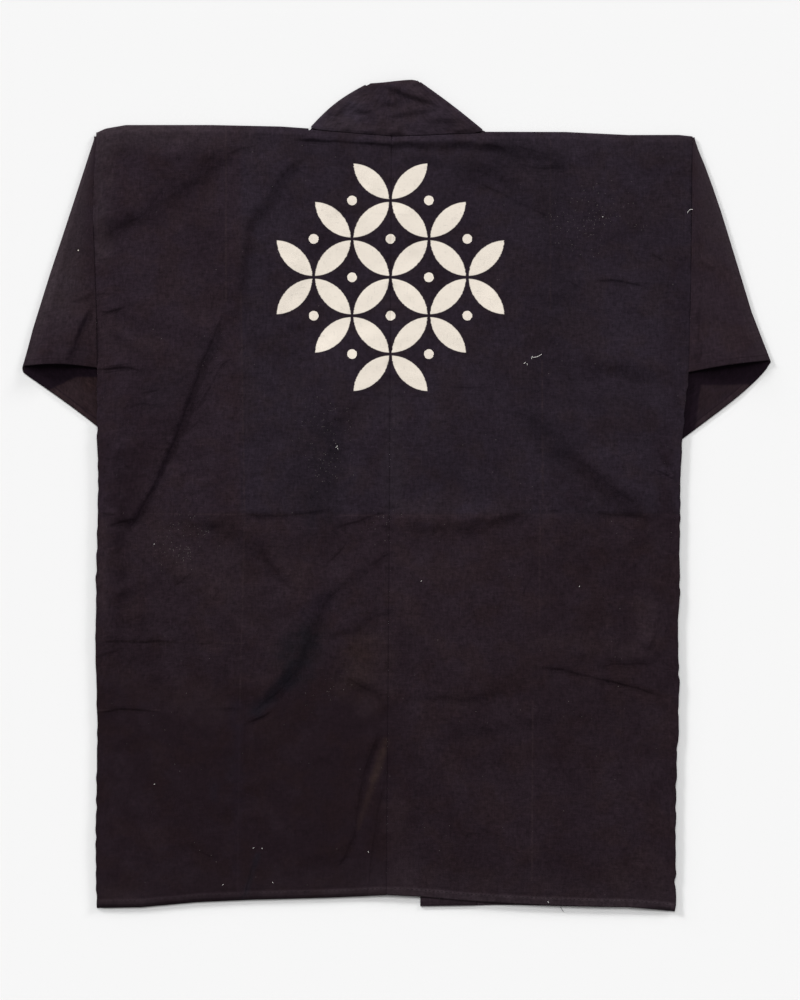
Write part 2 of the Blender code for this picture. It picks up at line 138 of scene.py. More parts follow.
# The collar: its mitres, the band between them, and its way under the coat
Mitre = namedtuple("Mitre", "seam_x seam_y edge_x edge_y bow")
MITRE_LEFT = Mitre(-92.6, 398.6, -33.5, 444.2, 3.9)
MITRE_RIGHT = Mitre(93.4, 395.4, 25.4, 447.4, 1.0)
# seam x, free edge x, free edge y, bow
COLLAR_BACK = [
    (-84, -28, 445.4, 2.2), (-73, -22.5, 445.8, 1.2), (-58, -16, 446.3, 0.5), (-38, -9.5, 446.9, 0),
    (-14, -4, 447.5, 0), (12, 1.5, 448.1, 0), (36, 6.5, 448.6, 0), (56, 11.5, 449.1, 0.2), (72, 16.5, 449.3, 0.4),
    (85, 20.8, 448.6, 0.7),
]
# y at the seam and at the free edge
COLLAR_TURN = [(393.5, 421), (388.5, 403), (380, 388), (366, 369), (340, 340)]

# Creases. Each follows a path walked upwards or to the right. On the left hand the cloth swells to `above`
# and dies away over `left`; on the right hand it sinks to `below` and levels out over `right`; between them
# it drops over `line`, the width of its steep face. Upright paths face right, level ones face the hem.
Crease = namedtuple("Crease", "above below left line right path")


def creases(*rows):
    """Creases from rows of above, below, left, line, right, then x and y of each point of the path in turn."""
    return [Crease(*row[:5], np.reshape(row[5:], (-1, 2))) for row in rows]


BACK_FOLDS = creases(
    # the sweep from the left side up to the shoulder
    (3.4, 1.2, 34, 24, 20, -345, 278, -303, 289, -268, 304, -242, 328, -226, 342, -204, 354, -180, 368, -158, 376),
    # the long fold that runs from the neck round the patch and down to the left side
    (2.2, 1.1, 22, 17, 20, -162, 228, -155, 271, -148, 300, -130, 329, -108, 362, -84, 384),
    (2.2, 0.9, 15, 8, 10, -167, 208, -166, 243, -161, 271, -157, 300, -143, 326),
    (
        2.8, 0.9, 24, 5.5, 8, -290, -38, -276, -15, -260, 14, -252, 34, -238, 63, -230, 88, -222, 108,
        -211.5, 142, -202.5, 163, -195, 179, -186, 196,
    ),
    (1.4, 0.7, 26, 16, 16, -236, 60, -224, 90, -212, 120, -203, 150, -190, 185),
    # the fall of the cloth below the neck seam, and away from its right end
    (1.9, 1, 5, 10, 8, -20, 380, 20, 379, 60, 378, 104, 376, 130, 372),
    (1.5, 1, 10, 14, 18, 106, 371, 150, 366, 198, 352),
    (1.6, 0.9, 18, 18, 18, 70, 362, 98, 350, 124, 335, 150, 312, 172, 300),
    # hollows below the patch and beside the waist
    (0.8, 1.2, 20, 24, 24, -112, 8, -102, 50, -90, 84, -70, 112),
    (3.4, 1.5, 24, 18, 14, -301, -178, -298, -120, -297, -60, -298, 0, -298, 50, -292, 90),
    (0.9, 0.6, 18, 14, 14, -268, -20, -262, -60, -240, -92, -206, -100),
    (1.6, 1.2, 14, 17, 20, -222, -27, -187, -35, -160, -50, -137, -70, -110, -106),
    (2.4, 1.5, 22, 17, 18, -162, -238, -146, -226, -121, -198, -98, -169, -90, -140, -82, -111, -62, -98),
    (1.4, 0.8, 14, 12, 14, -80, -112, -58, -98, -38, -82, -8, -62),
    (1.3, 0.6, 22, 14, 12, -64, -190, -44, -204, -20, -213, -4, -216),
    (0.4, 0.3, 16, 14, 16, -130, -285, -90, -288, -52, -276),
    # the slanting fall below the right arm
    (3.6, 2, 24, 24, 22, 138, 104, 165, 67, 192, 33, 222, 9, 248, -10, 280, -32),
    (1.5, 1, 16, 14, 18, -6, -34, 60, -36, 98, -33, 124, -24, 156, -20),
    (1.4, 1, 22, 20, 20, 176, 140, 232, 138, 262, 132, 306, 126),
    (0.7, 0.5, 18, 14, 16, 178, -178, 220, -177, 262, -175, 292, -176),
    (0.6, 0.6, 14, 12, 16, -4, -221, 25, -216, 62, -218, 100, -214, 128, -206),
    (0.8, 0.5, 18, 16, 18, 40, -252, 85, -254, 130, -247, 190, -238),
    (0.6, 0.5, 16, 14, 14, 262, -238, 282, -300, 283, -350, 288, -400),
    (0.5, 0.4, 18, 14, 14, 196, -36, 198, -80, 192, -130),
)
BACK_CREASES = creases(
    # sweeps from the shoulder and the neck out to the left
    (0.5, 0.3, 9, 4.5, 9, -186, 368, -160, 377, -148, 381),
    (0.5, 0.2, 12, 5, 10, -214, 350, -206, 358, -200, 366, -188, 376),
    (0.6, 0.2, 14, 5, 10, -300, 290, -280, 298, -268, 310, -255, 325, -248, 338),
    (0.6, 0.4, 9, 4, 8, -163, 286, -152, 295, -142, 311, -137, 327, -118, 352, -106, 364),
    (0.5, 0.3, 8, 3, 6, -163, 186, -161, 208), (0.7, 0.3, 10, 3.5, 6, -191, 296, -190, 324),
    (0.6, 0.4, 10, 4, 8, -206, 243, -200, 262, -194, 281), (0.5, 0.3, 8, 3.5, 6, -255, 224, -257, 240, -254, 260),
    # gathers below the collar
    (1.2, 0.6, 4, 5, 6, -112, 385, -60, 382, -28, 381, 4, 378),
    (0.5, 0.4, 6, 6, 12, 80, 379, 100, 379, 115, 376, 122, 370, 132, 364),
    (0.6, 0.4, 6, 4, 8, 122, 379, 150, 372, 168, 367), (0.5, 0.5, 8, 4, 8, 126, 361, 150, 354, 184, 354),
    (0.5, 0.2, 8, 3, 6, 82, 341, 110, 328, 130, 318, 150, 308, 172, 298),
    # small folds on the slopes of the long fold
    (0.9, 0.3, 8, 3, 6, -208, 136, -188, 166),
    (0.9, 0.4, 9, 3, 6, -216, 88, -208, 108, -200, 118, -190, 142, -174, 150),
    (0.6, 0.3, 6, 3, 6, -227, 68, -207, 87), (0.6, 0.3, 8, 4, 7, -182, 70, -170, 100, -172, 128),
    # below the left armhole
    (0.9, 0.4, 7, 3, 7, -326, 203, -316, 197, -300, 202, -284, 207), (0.6, 0.2, 6, 3, 5, -326, 217, -302, 220),
    (0.5, 0.3, 8, 4, 6, -327, 254, -304, 257),
    (1.4, 0.6, 9, 3, 7, -327, 137, -310, 137, -297, 139, -284, 138, -270, 131),
    (0.6, 0.4, 10, 6, 8, -299, 88, -280, 100, -254, 97), (0.6, 0.3, 8, 5, 6, -282, 108, -250, 117),
    (0.7, 0.4, 9, 4, 8, -305, 6, -303, 30, -298, 56), (0.5, 0.3, 9, 5, 7, -297, -66, -297, -30, -296, 4),
    # the slanting fold below the right arm and small folds round it
    (0.6, 0.5, 10, 6, 10, 196, 42, 215, 25, 230, 13, 246, 0, 264, -14),
    (0.9, 0.4, 8, 3, 6, 208, 232, 230, 232, 248, 231, 272, 225), (0.7, 0.4, 7, 3, 5, 268, 264, 285, 257, 296, 244),
    (0.4, 0.3, 8, 4, 6, 166, 217, 194, 210), (0.5, 0.3, 8, 4, 6, 176, 237, 209, 220),
    (0.5, 0.3, 8, 5, 4, 161, 226, 161, 284), (0.5, 0.2, 6, 3, 5, 294, 255, 318, 255),
    (0.4, 0.3, 8, 5, 7, 54, 117, 101, 117), (0.4, 0.3, 8, 5, 7, 110, 93, 145, 87),
    (1.4, 0.8, 6, 2.6, 5, 277, 30, 290, 24, 306, 14), (1.5, 0.8, 6, 2.6, 5, 289, 50, 294, 34, 303, 15),
    (0.5, 0.3, 7, 4, 6, 52, 48, 64, 16),
    # the crease left by folding the coat across the waist
    (0.7, 0.4, 6, 3, 6, -324, -17, -300, -21), (1.1, 0.5, 8, 4.5, 7, -316, -32, -300, -29, -278, -22),
    (0.4, 0.3, 7, 7, 7, -230, -30, -184, -33), (1.1, 0.7, 8, 7, 8, -172, -20, -115, -21, -90, -18, -64, -13),
    (0.9, 0.5, 7, 5.5, 7, -70, -37, -55, -30, -40, -27, -25, -20, -1, -18), (0.6, 0.4, 6, 3, 6, -24, -31, 1, -36),
    (0.3, 0.3, 9, 8, 10, 10, -30, 60, -31, 98, -29, 120, -21, 156, -19), (0.4, 0.3, 6, 3, 5, 160, -17, 182, -15),
    (1, 0.5, 8, 7, 7, 206, -17, 230, -20, 255, -22, 286, -24),
    # broken folds in the lower left back
    (0.6, 0.5, 6, 4, 10, -150, -58, -132, -78, -118, -95, -112, -106),
    (0.5, 0.6, 9, 6, 10, -92, -160, -84, -128, -74, -108, -56, -99),
    (0.7, 0.4, 10, 5, 8, -160, -239, -140, -220, -125, -210, -115, -195, -100, -180),
    (1.3, 0.7, 7, 5, 7, -167, -247, -150, -241, -132, -229), (0.5, 0.3, 6, 6, 6, -200, -229, -164, -230),
    (1.1, 0.6, 9, 8, 9, -80, -158, -62, -146, -48, -147, -40, -142, -30, -133, -14, -122),
    (0.6, 0.3, 6, 3, 5, -22, -127, -1, -127), (0.7, 0.5, 10, 5, 9, -79, -77, -60, -60, -47, -36),
    (0.5, 0.4, 8, 4, 7, -25, -73, -1, -58), (0.7, 0.4, 7, 5.5, 6, -244, -100, -216, -80),
    (0.7, 0.5, 9, 6, 9, -276, -58, -260, -92), (0.5, 0.4, 7, 4, 7, -201, -115, -186, -95),
    (0.7, 0.4, 8, 4, 7, -60, -190, -35, -207, -22, -212), (0.5, 0.4, 8, 5, 7, -24, -215, -1, -213),
    # creases left by folding across the hips
    (0.8, 0.6, 9, 4.5, 7, -328, -156, -300, -157, -270, -157, -230, -158),
    (0.3, 0.3, 9, 6, 7, -248, -158, -215, -158, -176, -160), (0.5, 0.3, 6, 3, 5, -325, -173, -298, -166),
    (0.6, 0.4, 8, 5, 8, -326, -235, -300, -230, -252, -232),
    # folds beside the centre seam, down to the hem
    (0.9, 1.3, 12, 4.5, 8, -66, -404, -50, -380, -43, -355, -40, -325, -38, -310, -30, -285, -19, -252),
    (1, 0.6, 7, 4, 8, -33, -444, -30, -410, -25, -375, -22, -345, -12, -306),
    (0.5, 0.3, 5, 3, 5, -11, -308, -7, -268), (1, 0.5, 9, 4, 7, -166, -442, -158, -410, -152, -388),
    (0.4, 0.2, 7, 3.5, 6, -164, -296, -163, -220), (0.4, 0.2, 9, 5, 8, -76, -406, -75, -314),
    (0.4, 0.3, 6, 4, 6, -215, -381, -193, -392),
    # the pucker above the right hip and the seam that pulls beside it
    (1.1, 0.5, 9, 3.5, 7, 152, -184, 180, -187, 200, -194, 230, -199, 255, -206, 287, -217),
    (0.6, 0.3, 7, 5.5, 7, 208, -189, 230, -182, 250, -180, 282, -181),
    (0.9, 0.5, 6, 3.5, 6, 276, -158, 287, -178, 297, -186, 308, -188),
    (0.8, 0.5, 8, 4, 6, 262, -174, 280, -155, 286, -120, 286, -82),
    (0.6, 0.3, 4, 3, 5, 285, -166, 293, -140, 299, -122), (0.6, 0.4, 5, 3, 4, 294, -100, 296, -40, 297, 10),
    # level troughs across the right hip
    (0.4, 0.4, 9, 8, 9, 4, -222, 25, -216, 40, -221, 60, -218, 85, -220, 100, -213, 124, -205),
    (0.5, 0.4, 8, 4, 7, 64, -58, 72, -100, 81, -115), (0.5, 0.4, 8, 5, 7, 133, -120, 148, -74),
    (0.5, 0.3, 8, 5, 7, 223, -170, 220, -114), (0.4, 0.3, 6, 4, 6, 286, -248, 304, -259),
    (0.5, 0.4, 8, 4, 7, 109, -376, 108, -350, 100, -327), (0.4, 0.3, 6, 4, 6, 135, -436, 128, -405),
    (0.5, 0.3, 9, 5, 7, 285, -336, 285, -274),
)
SLEEVE_CREASES = {
    "left": creases(
        (2.4, 1.1, 11, 3.5, 7, -356, 136, -349, 160, -341.5, 179, -333, 196, -327, 208),
        (0.9, 0.3, 6, 3, 5, -356, 210, -337, 212, -322, 222),
        (0.7, 0.5, 14, 10, 14, -374, 186, -354, 262, -341, 320),
        (0.4, 0.3, 8, 4, 6, -352, 268, -330, 262),
    ),
    "right": creases(
        (0.7, 0.3, 6, 3, 6, 322, 258, 345, 240), (0.7, 0.3, 5, 3, 5, 328, 144, 331, 172, 327, 238, 325, 298),
        (2, 1.2, 6, 2.2, 6, 328, 143, 326, 158, 325, 176, 325, 194, 326, 212),
        (0.7, 0.5, 14, 10, 14, 352, 262, 368, 205, 380, 150),
    ),
}
COLLAR_CREASES = creases(
    (2, 1, 7, 4, 6, -18, 444, 14, 432, 48, 420), (1.4, 0.7, 7, 5, 7, -60, 425, -40, 417, -22, 410),
    (0.6, 1.4, 7, 6, 8, -30, 428, -12, 425, 6, 418), (1, 0.7, 5, 4, 6, -14, 407, 14, 413, 46, 419),
    (0.7, 0.7, 3, 3, 4, 5, 389, 4, 410), (0.9, 0.6, 8, 5, 8, -82, 404, -60, 414, -46, 430),
    (0.8, 0.6, 8, 6, 8, 30, 404, 52, 408, 74, 400),
)
WAIST_MARKS = (-443, -436, -232, -159, -20, 385, 390)  # heights where the back's rows draw together

# Colours
DEEP_DYE = (0.0122, 0.0068, 0.0100, 1.0)
FADED_DYE = (0.0208, 0.0133, 0.0193, 1.0)
BROWNING = (1.04, 1.0, 0.92, 1.0)
BLUISH = (0.94, 1.04, 1.08, 1.0)
BELOW_WAIST = (0.975, 0.965, 0.93, 1.0)
SLEEVE_TINT = (0.99, 0.98, 0.945, 1.0)
COLLAR_TINT = (1.10, 1.19, 1.19, 1.0)
COLLAR_PALE = (1.24, 1.34, 1.33, 1.0)
WARM_WEAR = (0.034, 0.0215, 0.0245, 1.0)
BROWN_WEAR = (0.036, 0.0215, 0.0175, 1.0)
WARM_LIGHT = (0.0262, 0.0165, 0.0200, 1.0)
BLUE_DEEP = (0.0095, 0.0085, 0.0130, 1.0)
TEAL_DEEP = (0.0078, 0.0066, 0.0092, 1.0)
# blue of the hollows: less faded dye and painted shade
HOLLOW_BLUE = (0.0123, 0.0086, 0.0129, 1.0)
VIOLET = (0.0120, 0.0078, 0.0132, 1.0)
# front ends: worn, and lightened with painted light where the back's hem shades them
COLLAR_END = (0.043, 0.0285, 0.0370, 1.0)
# pale wear, also used as painted highlight on the shoulder's fold
PALE_WEAR_AND_HIGHLIGHT = (0.0345, 0.0250, 0.0300, 1.0)
PALE_BLUE = (0.0225, 0.0165, 0.0225, 1.0)
UNLIT = (0.0085, 0.0045, 0.0080, 1.0)
UNDYED = (0.76, 0.69, 0.605, 1.0)
GREY_FIBRE = (0.50, 0.46, 0.42, 1.0)
BLACK_THREAD = (0.014, 0.009, 0.012)
WHITE_LINT = (0.75, 0.73, 0.70)
PAPER = (0.85, 0.85, 0.85, 1.0)

# Patches where lint clings: x and y of the middle, reach, how much
LINT_PATCHES = [
    (200, 294, 44, 0.5), (206, 300, 25, 0.5), (222, 297, 14, 0.7), (192, 268, 12, 0.7), (166, 300, 12, 0.6),
    (201, 324, 8, 0.7), (262, 286, 9, 0.7), (228, 318, 34, 0.3), (-232, -52, 42, 0.45), (-222, -21, 8, 0.8),
    (-244, -35, 10, 0.8), (-206, -38, 7, 0.8), (-228, -63, 13, 0.9), (-66, 52, 7, 0.9), (-77, 25, 14, 0.8),
    (-84, -3, 8, 0.6), (-74, 38, 28, 0.35), (-78, 74, 42, 0.4), (-20, -30, 30, 0.25), (-70, -215, 36, 0.2),
]
# Stained and worn patches of the back, and patches of painted shade: x and y of start and end, half width, strength,
# colour
STAINS_AND_SHADE = [
    # hollows of less faded dye and painted shade: at the left waist, beside the long fold, under the patch and round
    # its right side
    (-283, 40, -294, -20, 26, 0.9, DEEP_DYE), (-262, 62, -280, -8, 42, 0.7, DEEP_DYE),
    (-208, 190, -242, 50, 32, 0.35, DEEP_DYE), (-318, 196, -272, 202, 18, 0.3, DEEP_DYE),
    (-272, -58, -268, -96, 20, 0.4, DEEP_DYE), (-166, 220, -159, 292, 9, 0.4, DEEP_DYE),
    (-298, -30, -300, -130, 15, 0.4, DEEP_DYE), (-262, 298, -196, 352, 16, 0.4, DEEP_DYE),
    (-255, 110, -205, 160, 30, 0.4, HOLLOW_BLUE), (-75, 62, -84, -14, 40, 1, HOLLOW_BLUE),
    (-104, 108, -112, 80, 26, 0.35, HOLLOW_BLUE), (104, 372, 166, 346, 32, 0.5, HOLLOW_BLUE),
    (165, 330, 176, 215, 36, 0.45, HOLLOW_BLUE), (172, 205, 146, 120, 26, 0.3, HOLLOW_BLUE),
    (150, 84, 206, -10, 38, 0.5, HOLLOW_BLUE), (110, 0, 190, -10, 24, 0.3, DEEP_DYE),
    (0, -46, 140, -46, 24, 0.35, DEEP_DYE), (196, 36, 250, -14, 22, 0.45, DEEP_DYE),
    (50, 40, 86, 8, 16, 0.3, HOLLOW_BLUE), (182, -262, 186, -410, 44, 0.35, DEEP_DYE),
    (176, 18, 212, -8, 26, 0.35, DEEP_DYE), (289, 54, 294, -30, 17, 0.65, DEEP_DYE),
    (-312, 60, -312, 0, 16, 0.4, DEEP_DYE), (-100, 56, -112, 10, 24, 0.4, HOLLOW_BLUE),
    (18, 362, 104, 358, 15, 0.7, HOLLOW_BLUE), (112, 376, 172, 370, 24, 0.85, HOLLOW_BLUE),
    (60, 350, 90, 345, 16, 0.5, HOLLOW_BLUE), (118, 325, 130, 305, 18, 0.45, HOLLOW_BLUE),
    (180, 265, 184, 220, 18, 0.35, HOLLOW_BLUE), (175, 104, 262, 100, 18, 0.45, HOLLOW_BLUE),
    (176, 140, 190, 112, 16, 0.35, HOLLOW_BLUE), (-152, -48, -118, -96, 9, 0.45, DEEP_DYE),
    # dark blue stains of the lower left back, and painted shade at the foot of a fold
    (-76, -106, -94, -128, 26, 0.5, VIOLET), (-94, -150, -108, -188, 30, 0.8, TEAL_DEEP),
    (-118, -160, -128, -176, 20, 0.45, TEAL_DEEP), (-108, -190, -152, -232, 13, 0.6, BLUE_DEEP),
    (-175, -226, -174, -244, 14, 0.5, VIOLET), (-170, -250, -173, -410, 10, 0.4, VIOLET),
    (-196, -310, -196, -326, 11, 0.5, HOLLOW_BLUE), (-178, -285, -180, -305, 8, 0.4, HOLLOW_BLUE),
    (-150, -388, -166, -440, 5, 0.5, BLUE_DEEP),
    # paler and browner wear
    (-262, -50, -190, -95, 34, 0.3, WARM_LIGHT), (-318, 385, -320, 265, 24, 0.35, PALE_WEAR_AND_HIGHLIGHT),
    (-5, 112, -4, -5, 20, 0.55, PALE_BLUE), (-126, -62, -112, -92, 22, 0.35, WARM_LIGHT),
    (-14, -150, -8, -205, 22, 0.3, WARM_LIGHT), (0, -335, 8, -425, 24, 0.3, WARM_LIGHT),
    (-318, -30, -317, -120, 9, 0.5, WARM_LIGHT), (-235, -215, -200, -228, 34, 0.3, WARM_LIGHT),
    (268, -122, 270, -152, 26, 0.4, WARM_LIGHT), (272, -395, 286, -420, 26, 0.35, WARM_LIGHT),
    (-12, -266, -24, -305, 8, 0.45, BROWN_WEAR), (-24, -305, -42, -358, 5, 0.25, BROWN_WEAR),
    (-38, -165, -46, -198, 34, 0.25, BROWN_WEAR), (-300, 165, -268, 160, 26, 0.35, WARM_LIGHT),
    (150, -158, 258, -165, 20, 0.35, WARM_LIGHT), (-28, -190, -30, -232, 20, 0.3, WARM_LIGHT),
    (50, -220, 75, -222, 20, 0.3, WARM_LIGHT), (232, -400, 246, -415, 20, 0.3, WARM_LIGHT),
    (-185, -75, -160, -130, 36, 0.25, WARM_LIGHT), (-308, -430, -285, -440, 20, 0.35, WARM_LIGHT),
]
# Worn lines of the back, from folding it for storage: x and y of start and end, half width, strength
WORN_LINES = [
    (-184, 398, -184, 211, 1.6, 0.5), (-168, 222, -164, -20, 1.6, 0.4), (-164, -25, -169, -221, 1.6, 0.3),
    (-169, -221, -172, -436, 1.6, 0.15), (166, 384, 166, 200, 1.6, 0.5), (157, 146, 158, -5, 1.6, 0.45),
    (155, -5, 154, -134, 1.5, 0.35), (147, -221, 146, -415, 1.5, 0.4), (-320, -19, -8, -21, 1.5, 0.4),
    (-8, -21, 300, -20, 1.5, 0.25), (-322, -156, -165, -159, 1.5, 0.4), (-322, -231, -255, -231, 1.5, 0.35),
]
# Painted shade: dark lines along the long fold's narrow depth, given in the same way
PAINTED_FOLD_SHADE = [
    (-287, -30, -262, 10, 5.5, 0.6), (-262, 10, -240, 58, 5.5, 0.65), (-240, 58, -224, 104, 5, 0.5),
    (-224, 104, -200, 168, 4.5, 0.35),
]

# How a sleeve is finished: its fade and grain; how far it is worn pale towards its outer fold, between which
# heights, and at the very fold; the tint of its inside; lines (a point and a rise to the right) above which
# the inside is painted in shade; painted shade along the depths of its fold; specks of lint
SleeveFinish = namedtuple("SleeveFinish", "fade grain worn worn_over worn_edge inside shades depths specks")
SLEEVE_FINISH = {
    "left": SleeveFinish(
        0.7, 1.9, 0.55, (0.155, 0.225), 0.38, (1.34, 1.30, 1.12, 1.0),
        [(-347, 128.3, 0), (-347, 128.3, 0.5)],
        [(-333, 197, -341.5, 179), (-341.5, 179, -353, 147)],
        [(-343.4, 265.1)],
    ),
    "right": SleeveFinish(
        1.0, 1.2, 0.35, (0.22, 0.31), 0.32, (0.92, 0.92, 0.92, 1.0), [(340, 119.9, 0), (328.4, 119.3, 8.3)], [], []
    ),
}

# The patch of lattice
LATTICE = {"middle": (-0.0065, 0.236, 0.0), "pitch": 0.0586, "gap": 0.0016, "dot": 0.0052, "reach": 0.108}

# Loose fibres on the back: x, y, length, heading in degrees, bend in radians and, where it is high, the rise
FIBRES = [
    (146, 149.5, 12, 18, 0.8, 0.9), (147, 151, 4, 250, 1.2), (137, 143, 3, 30, 1.2), (141, 141, 2, 100, 1.2),
    (-155, -380, 1.6, 20, 1.0), (-145, -381, 1.4, 100, 1.0), (-188, -420, 1.7, 40, 1.4),
    (-133, -418, 1.8, 130, 1.0), (-262, -311, 1.8, 10, 1.0), (-30, -385, 1.8, 120, 1.0), (197, -98, 1.3, 60, 1.2),
    (26, -92, 1.3, 30, 1.2), (222, 301, 1.4, 30, 1.5), (164, -439.5, 2.4, 110, 1.0), (-66, 52.4, 3.4, 40, 1.6),
    (-63, 50, 2.2, 120, 1.2), (-262, -52, 1.3, 15, 1.2), (314, 304.6, 12, 21, -2.7, 0.9),
]
# The end of the hem's thread, which has come loose
LOOSE_END = [
    (176.0, -440.0, 4.6), (177.0, -443.6, 4.5), (178.4, -446.0, 2.0), (179.8, -448.2, 0.4), (181.5, -449.6, 0.35),
]


# Numbers along a table, and smooth curves


def along(table, where):
    """The table's second column where its first is `where`, on straight lines between its rows."""
    keys, values = zip(*table)
    return np.interp(where, keys, values)


def eased(table, where, reach=25.0):
    """The same with the table's corners rounded off: the mean of five readings within `reach`."""
    return sum(along(table, where + reach * step) for step in (-1.0, -0.5, 0.0, 0.5, 1.0)) / 5


def mix(a, b, share):
    return a + (b - a) * share


def smooth(share):
    """Nought below 0, one above 1, and 3s^2 - 2s^3 between."""
    share = np.clip(share, 0.0, 1.0)
    return share * share * (3 - 2 * share)


def bell(distance, width):
    """One at nought and a third at `width`: exp(-(d/w)^2)."""
    return np.exp(-((distance / width) ** 2))


def stops(length, step, fine, reach, marks):
    """Positions from 0 to length, `step` apart but drawn together to `fine` within `reach` of each mark.

    They are read off the running sum of how many positions a millimetre holds.
    """
    place = np.linspace(0.0, length, 4001)
    gap = np.min([np.abs(place - mark) for mark in marks], axis=0)
    density = 1 / step + (1 / fine - 1 / step) * bell(gap, reach)
    run = np.concatenate([[0.0], np.cumsum((density[1:] + density[:-1]) / 2 * np.diff(place))])
    return np.interp(np.linspace(0.0, run[-1], round(run[-1]) + 1), run, place)


def rounded_path(points, passes=2):
    """The path with its corners cut: each pass puts two points a quarter in from the ends of every leg."""
    path = np.array(points, float)
    for _ in range(passes):
        near, far = mix(path[:-1], path[1:], 0.25), mix(path[:-1], path[1:], 0.75)
        path = np.concatenate([path[:1], np.stack([near, far], axis=1).reshape(-1, path.shape[1]), path[-1:]])
    return path


def half_turn(count=7):
    """Shares of the way round a fold, without its start."""
    return np.arange(1, count + 1) / (count + 1)


# Relief of the cloth


def crease_height(crease, x, y):
    """Height of one crease over arrays x and y, and how far it drops and how far away it is near its line.

    At a signed distance d from the path, positive on the right hand, and with e half the width of the steep
    face, the height is above * exp(-((-d - e) / left)^2) on the left, -below * exp(-((d - e) / right)^2) on
    the right and a smooth step between them across the face. Both ends of the path fade to nothing, and on
    the way it wanders and swells a little.
    """
    reach = crease.line + 2.4 * max(crease.left, crease.right)
    path = rounded_path(crease.path)
    low, high = path.min(0) - reach, path.max(0) + reach
    near = (x > low[0]) & (x < high[0]) & (y > low[1]) & (y < high[1])
    height, drop, signed = np.zeros_like(x), np.zeros_like(x), np.full_like(x, reach)
    if not near.any():
        return height, drop, signed
    legs = np.diff(path, axis=0)
    lengths = np.hypot(*legs.T)
    starts = np.concatenate([[0.0], np.cumsum(lengths)[:-1]])
    offset = np.stack([x[near], y[near]], -1)[:, None] - path[:-1]
    share = np.clip((offset * legs).sum(-1) / lengths**2, 0, 1)
    away = offset - share[..., None] * legs
    distance = np.hypot(away[..., 0], away[..., 1])
    leg = distance.argmin(1)
    row = np.arange(len(leg))
    turn = legs[leg, 0] * away[row, leg, 1] - legs[leg, 1] * away[row, leg, 0]
    distance = np.where(turn > 0, -1.0, 1.0) * distance[row, leg]
    distance += (0.25 + 0.07 * crease.line) * unevenness(x[near], y[near], 13.0, 79)
    run = starts[leg] + share[row, leg] * lengths[leg]
    ease = min(CREASE_END + crease.line, 0.4 * lengths.sum())
    fade = smooth(run / ease) * smooth((lengths.sum() - run) / ease)
    fade *= np.clip(0.95 + 0.28 * unevenness(run, 0 * run + path[0].sum(), 21.0, 77), 0.4, 1.4)
    half = crease.line / 2
    rise = crease.above * bell(np.maximum(-distance - half, 0.0), crease.left)
    sink = crease.below * bell(np.maximum(distance - half, 0.0), crease.right)
    height[near] = fade * mix(rise, -sink, smooth((distance + half) / crease.line))
    sharp = np.clip((8.0 - crease.line) / 3.0, 0.0, 1.0)
    drop[near] = sharp * fade * (crease.above + crease.below) * (1 - smooth((np.abs(distance) - 2.5) / 2.0))
    signed[near] = distance
    return height, drop, signed


def creased(folds, x, y):
    """Height of all the creases together, and the drop and signed distance of the strongest line nearby."""
    height, drop, signed = np.zeros_like(x), np.zeros_like(x), np.zeros_like(x)
    for crease in folds:
        more, line_drop, line_signed = crease_height(crease, x, y)
        height += more
        stronger = line_drop > drop
        drop, signed = np.where(stronger, line_drop, drop), np.where(stronger, line_signed, signed)
    return height, drop, signed


def unevenness(x, y, spacing, seed):
    """Slow random waves, about one either way, of cloth smoothed by hand.

    Seeded random numbers stand on a square lattice, and smooth steps lead from each to its neighbours.
    """
    lattice = np.random.default_rng(seed).normal(0.0, 1.0, (128, 128))
    across, up = x / spacing + 64, y / spacing + 64
    i, j = np.floor(across).astype(int) % 127, np.floor(up).astype(int) % 127
    s, t = smooth(across % 1.0), smooth(up % 1.0)
    return mix(mix(lattice[i, j], lattice[i + 1, j], s), mix(lattice[i, j + 1], lattice[i + 1, j + 1], s), t)


def at_least(height, floor, ease=0.25):
    """Height held above a floor by a soft corner: the upper branch of a hyperbola."""
    return floor + 0.5 * (height - floor + np.sqrt((height - floor) ** 2 + ease**2))


def crumple(x, y, spacing, seed):
    """Crooked ridges between hollows: 0.8 - 1.6|n| of slow waves read on a turned lattice that slower ones
    push about."""
    push = 0.5 * spacing
    u = 0.86 * x + 0.5 * y + push * unevenness(x, y, 2.1 * spacing, seed + 1)
    v = 0.86 * y - 0.5 * x + push * unevenness(x, y, 2.1 * spacing, seed + 2)
    return 0.8 - 1.6 * np.abs(unevenness(u, v, spacing, seed))


def near_line(x, y, line, width):
    """One on the straight line from its start to its end, and evenly less to nought at `width` from it."""
    start, end = line[:2], line[2:]
    offset = np.stack([x - start[0], y - start[1]], -1)
    leg = np.subtract(end, start).astype(float)
    share = np.clip(offset @ leg / max(leg @ leg, 1e-9), 0, 1)
    away = offset - share[..., None] * leg
    return np.clip(1 - np.hypot(away[..., 0], away[..., 1]) / width, 0, 1)


def stains_and_shade_at(x, y):
    """The colour that the stains and the painted shade lay on the dye and, in the fourth place, how much of the dye
    still shows.

    Each stain covers a share s of what lies below it, so that both become (1 - s) times what they were and
    the stain's colour adds s times itself. Its edge is ragged.
    """
    laid = np.zeros(x.shape + (4,))
    laid[..., 3] = 1.0
    ragged = np.clip(0.75 + 0.2 * unevenness(x, y, 9.0, 91) + 0.15 * unevenness(x, y, 4.5, 93), 0.25, 1.0)
    for *line, width, strength, colour in STAINS_AND_SHADE:
        share = strength * smooth(near_line(x, y, line, width) * ragged / 0.8)[..., None]
        laid = laid * (1 - share) + np.array((*colour[:3], 0.0)) * share
    return laid


def lint_at(x, y):
    return sum(most * near_line(x, y, (*middle, *middle), reach) for *middle, reach, most in LINT_PATCHES)


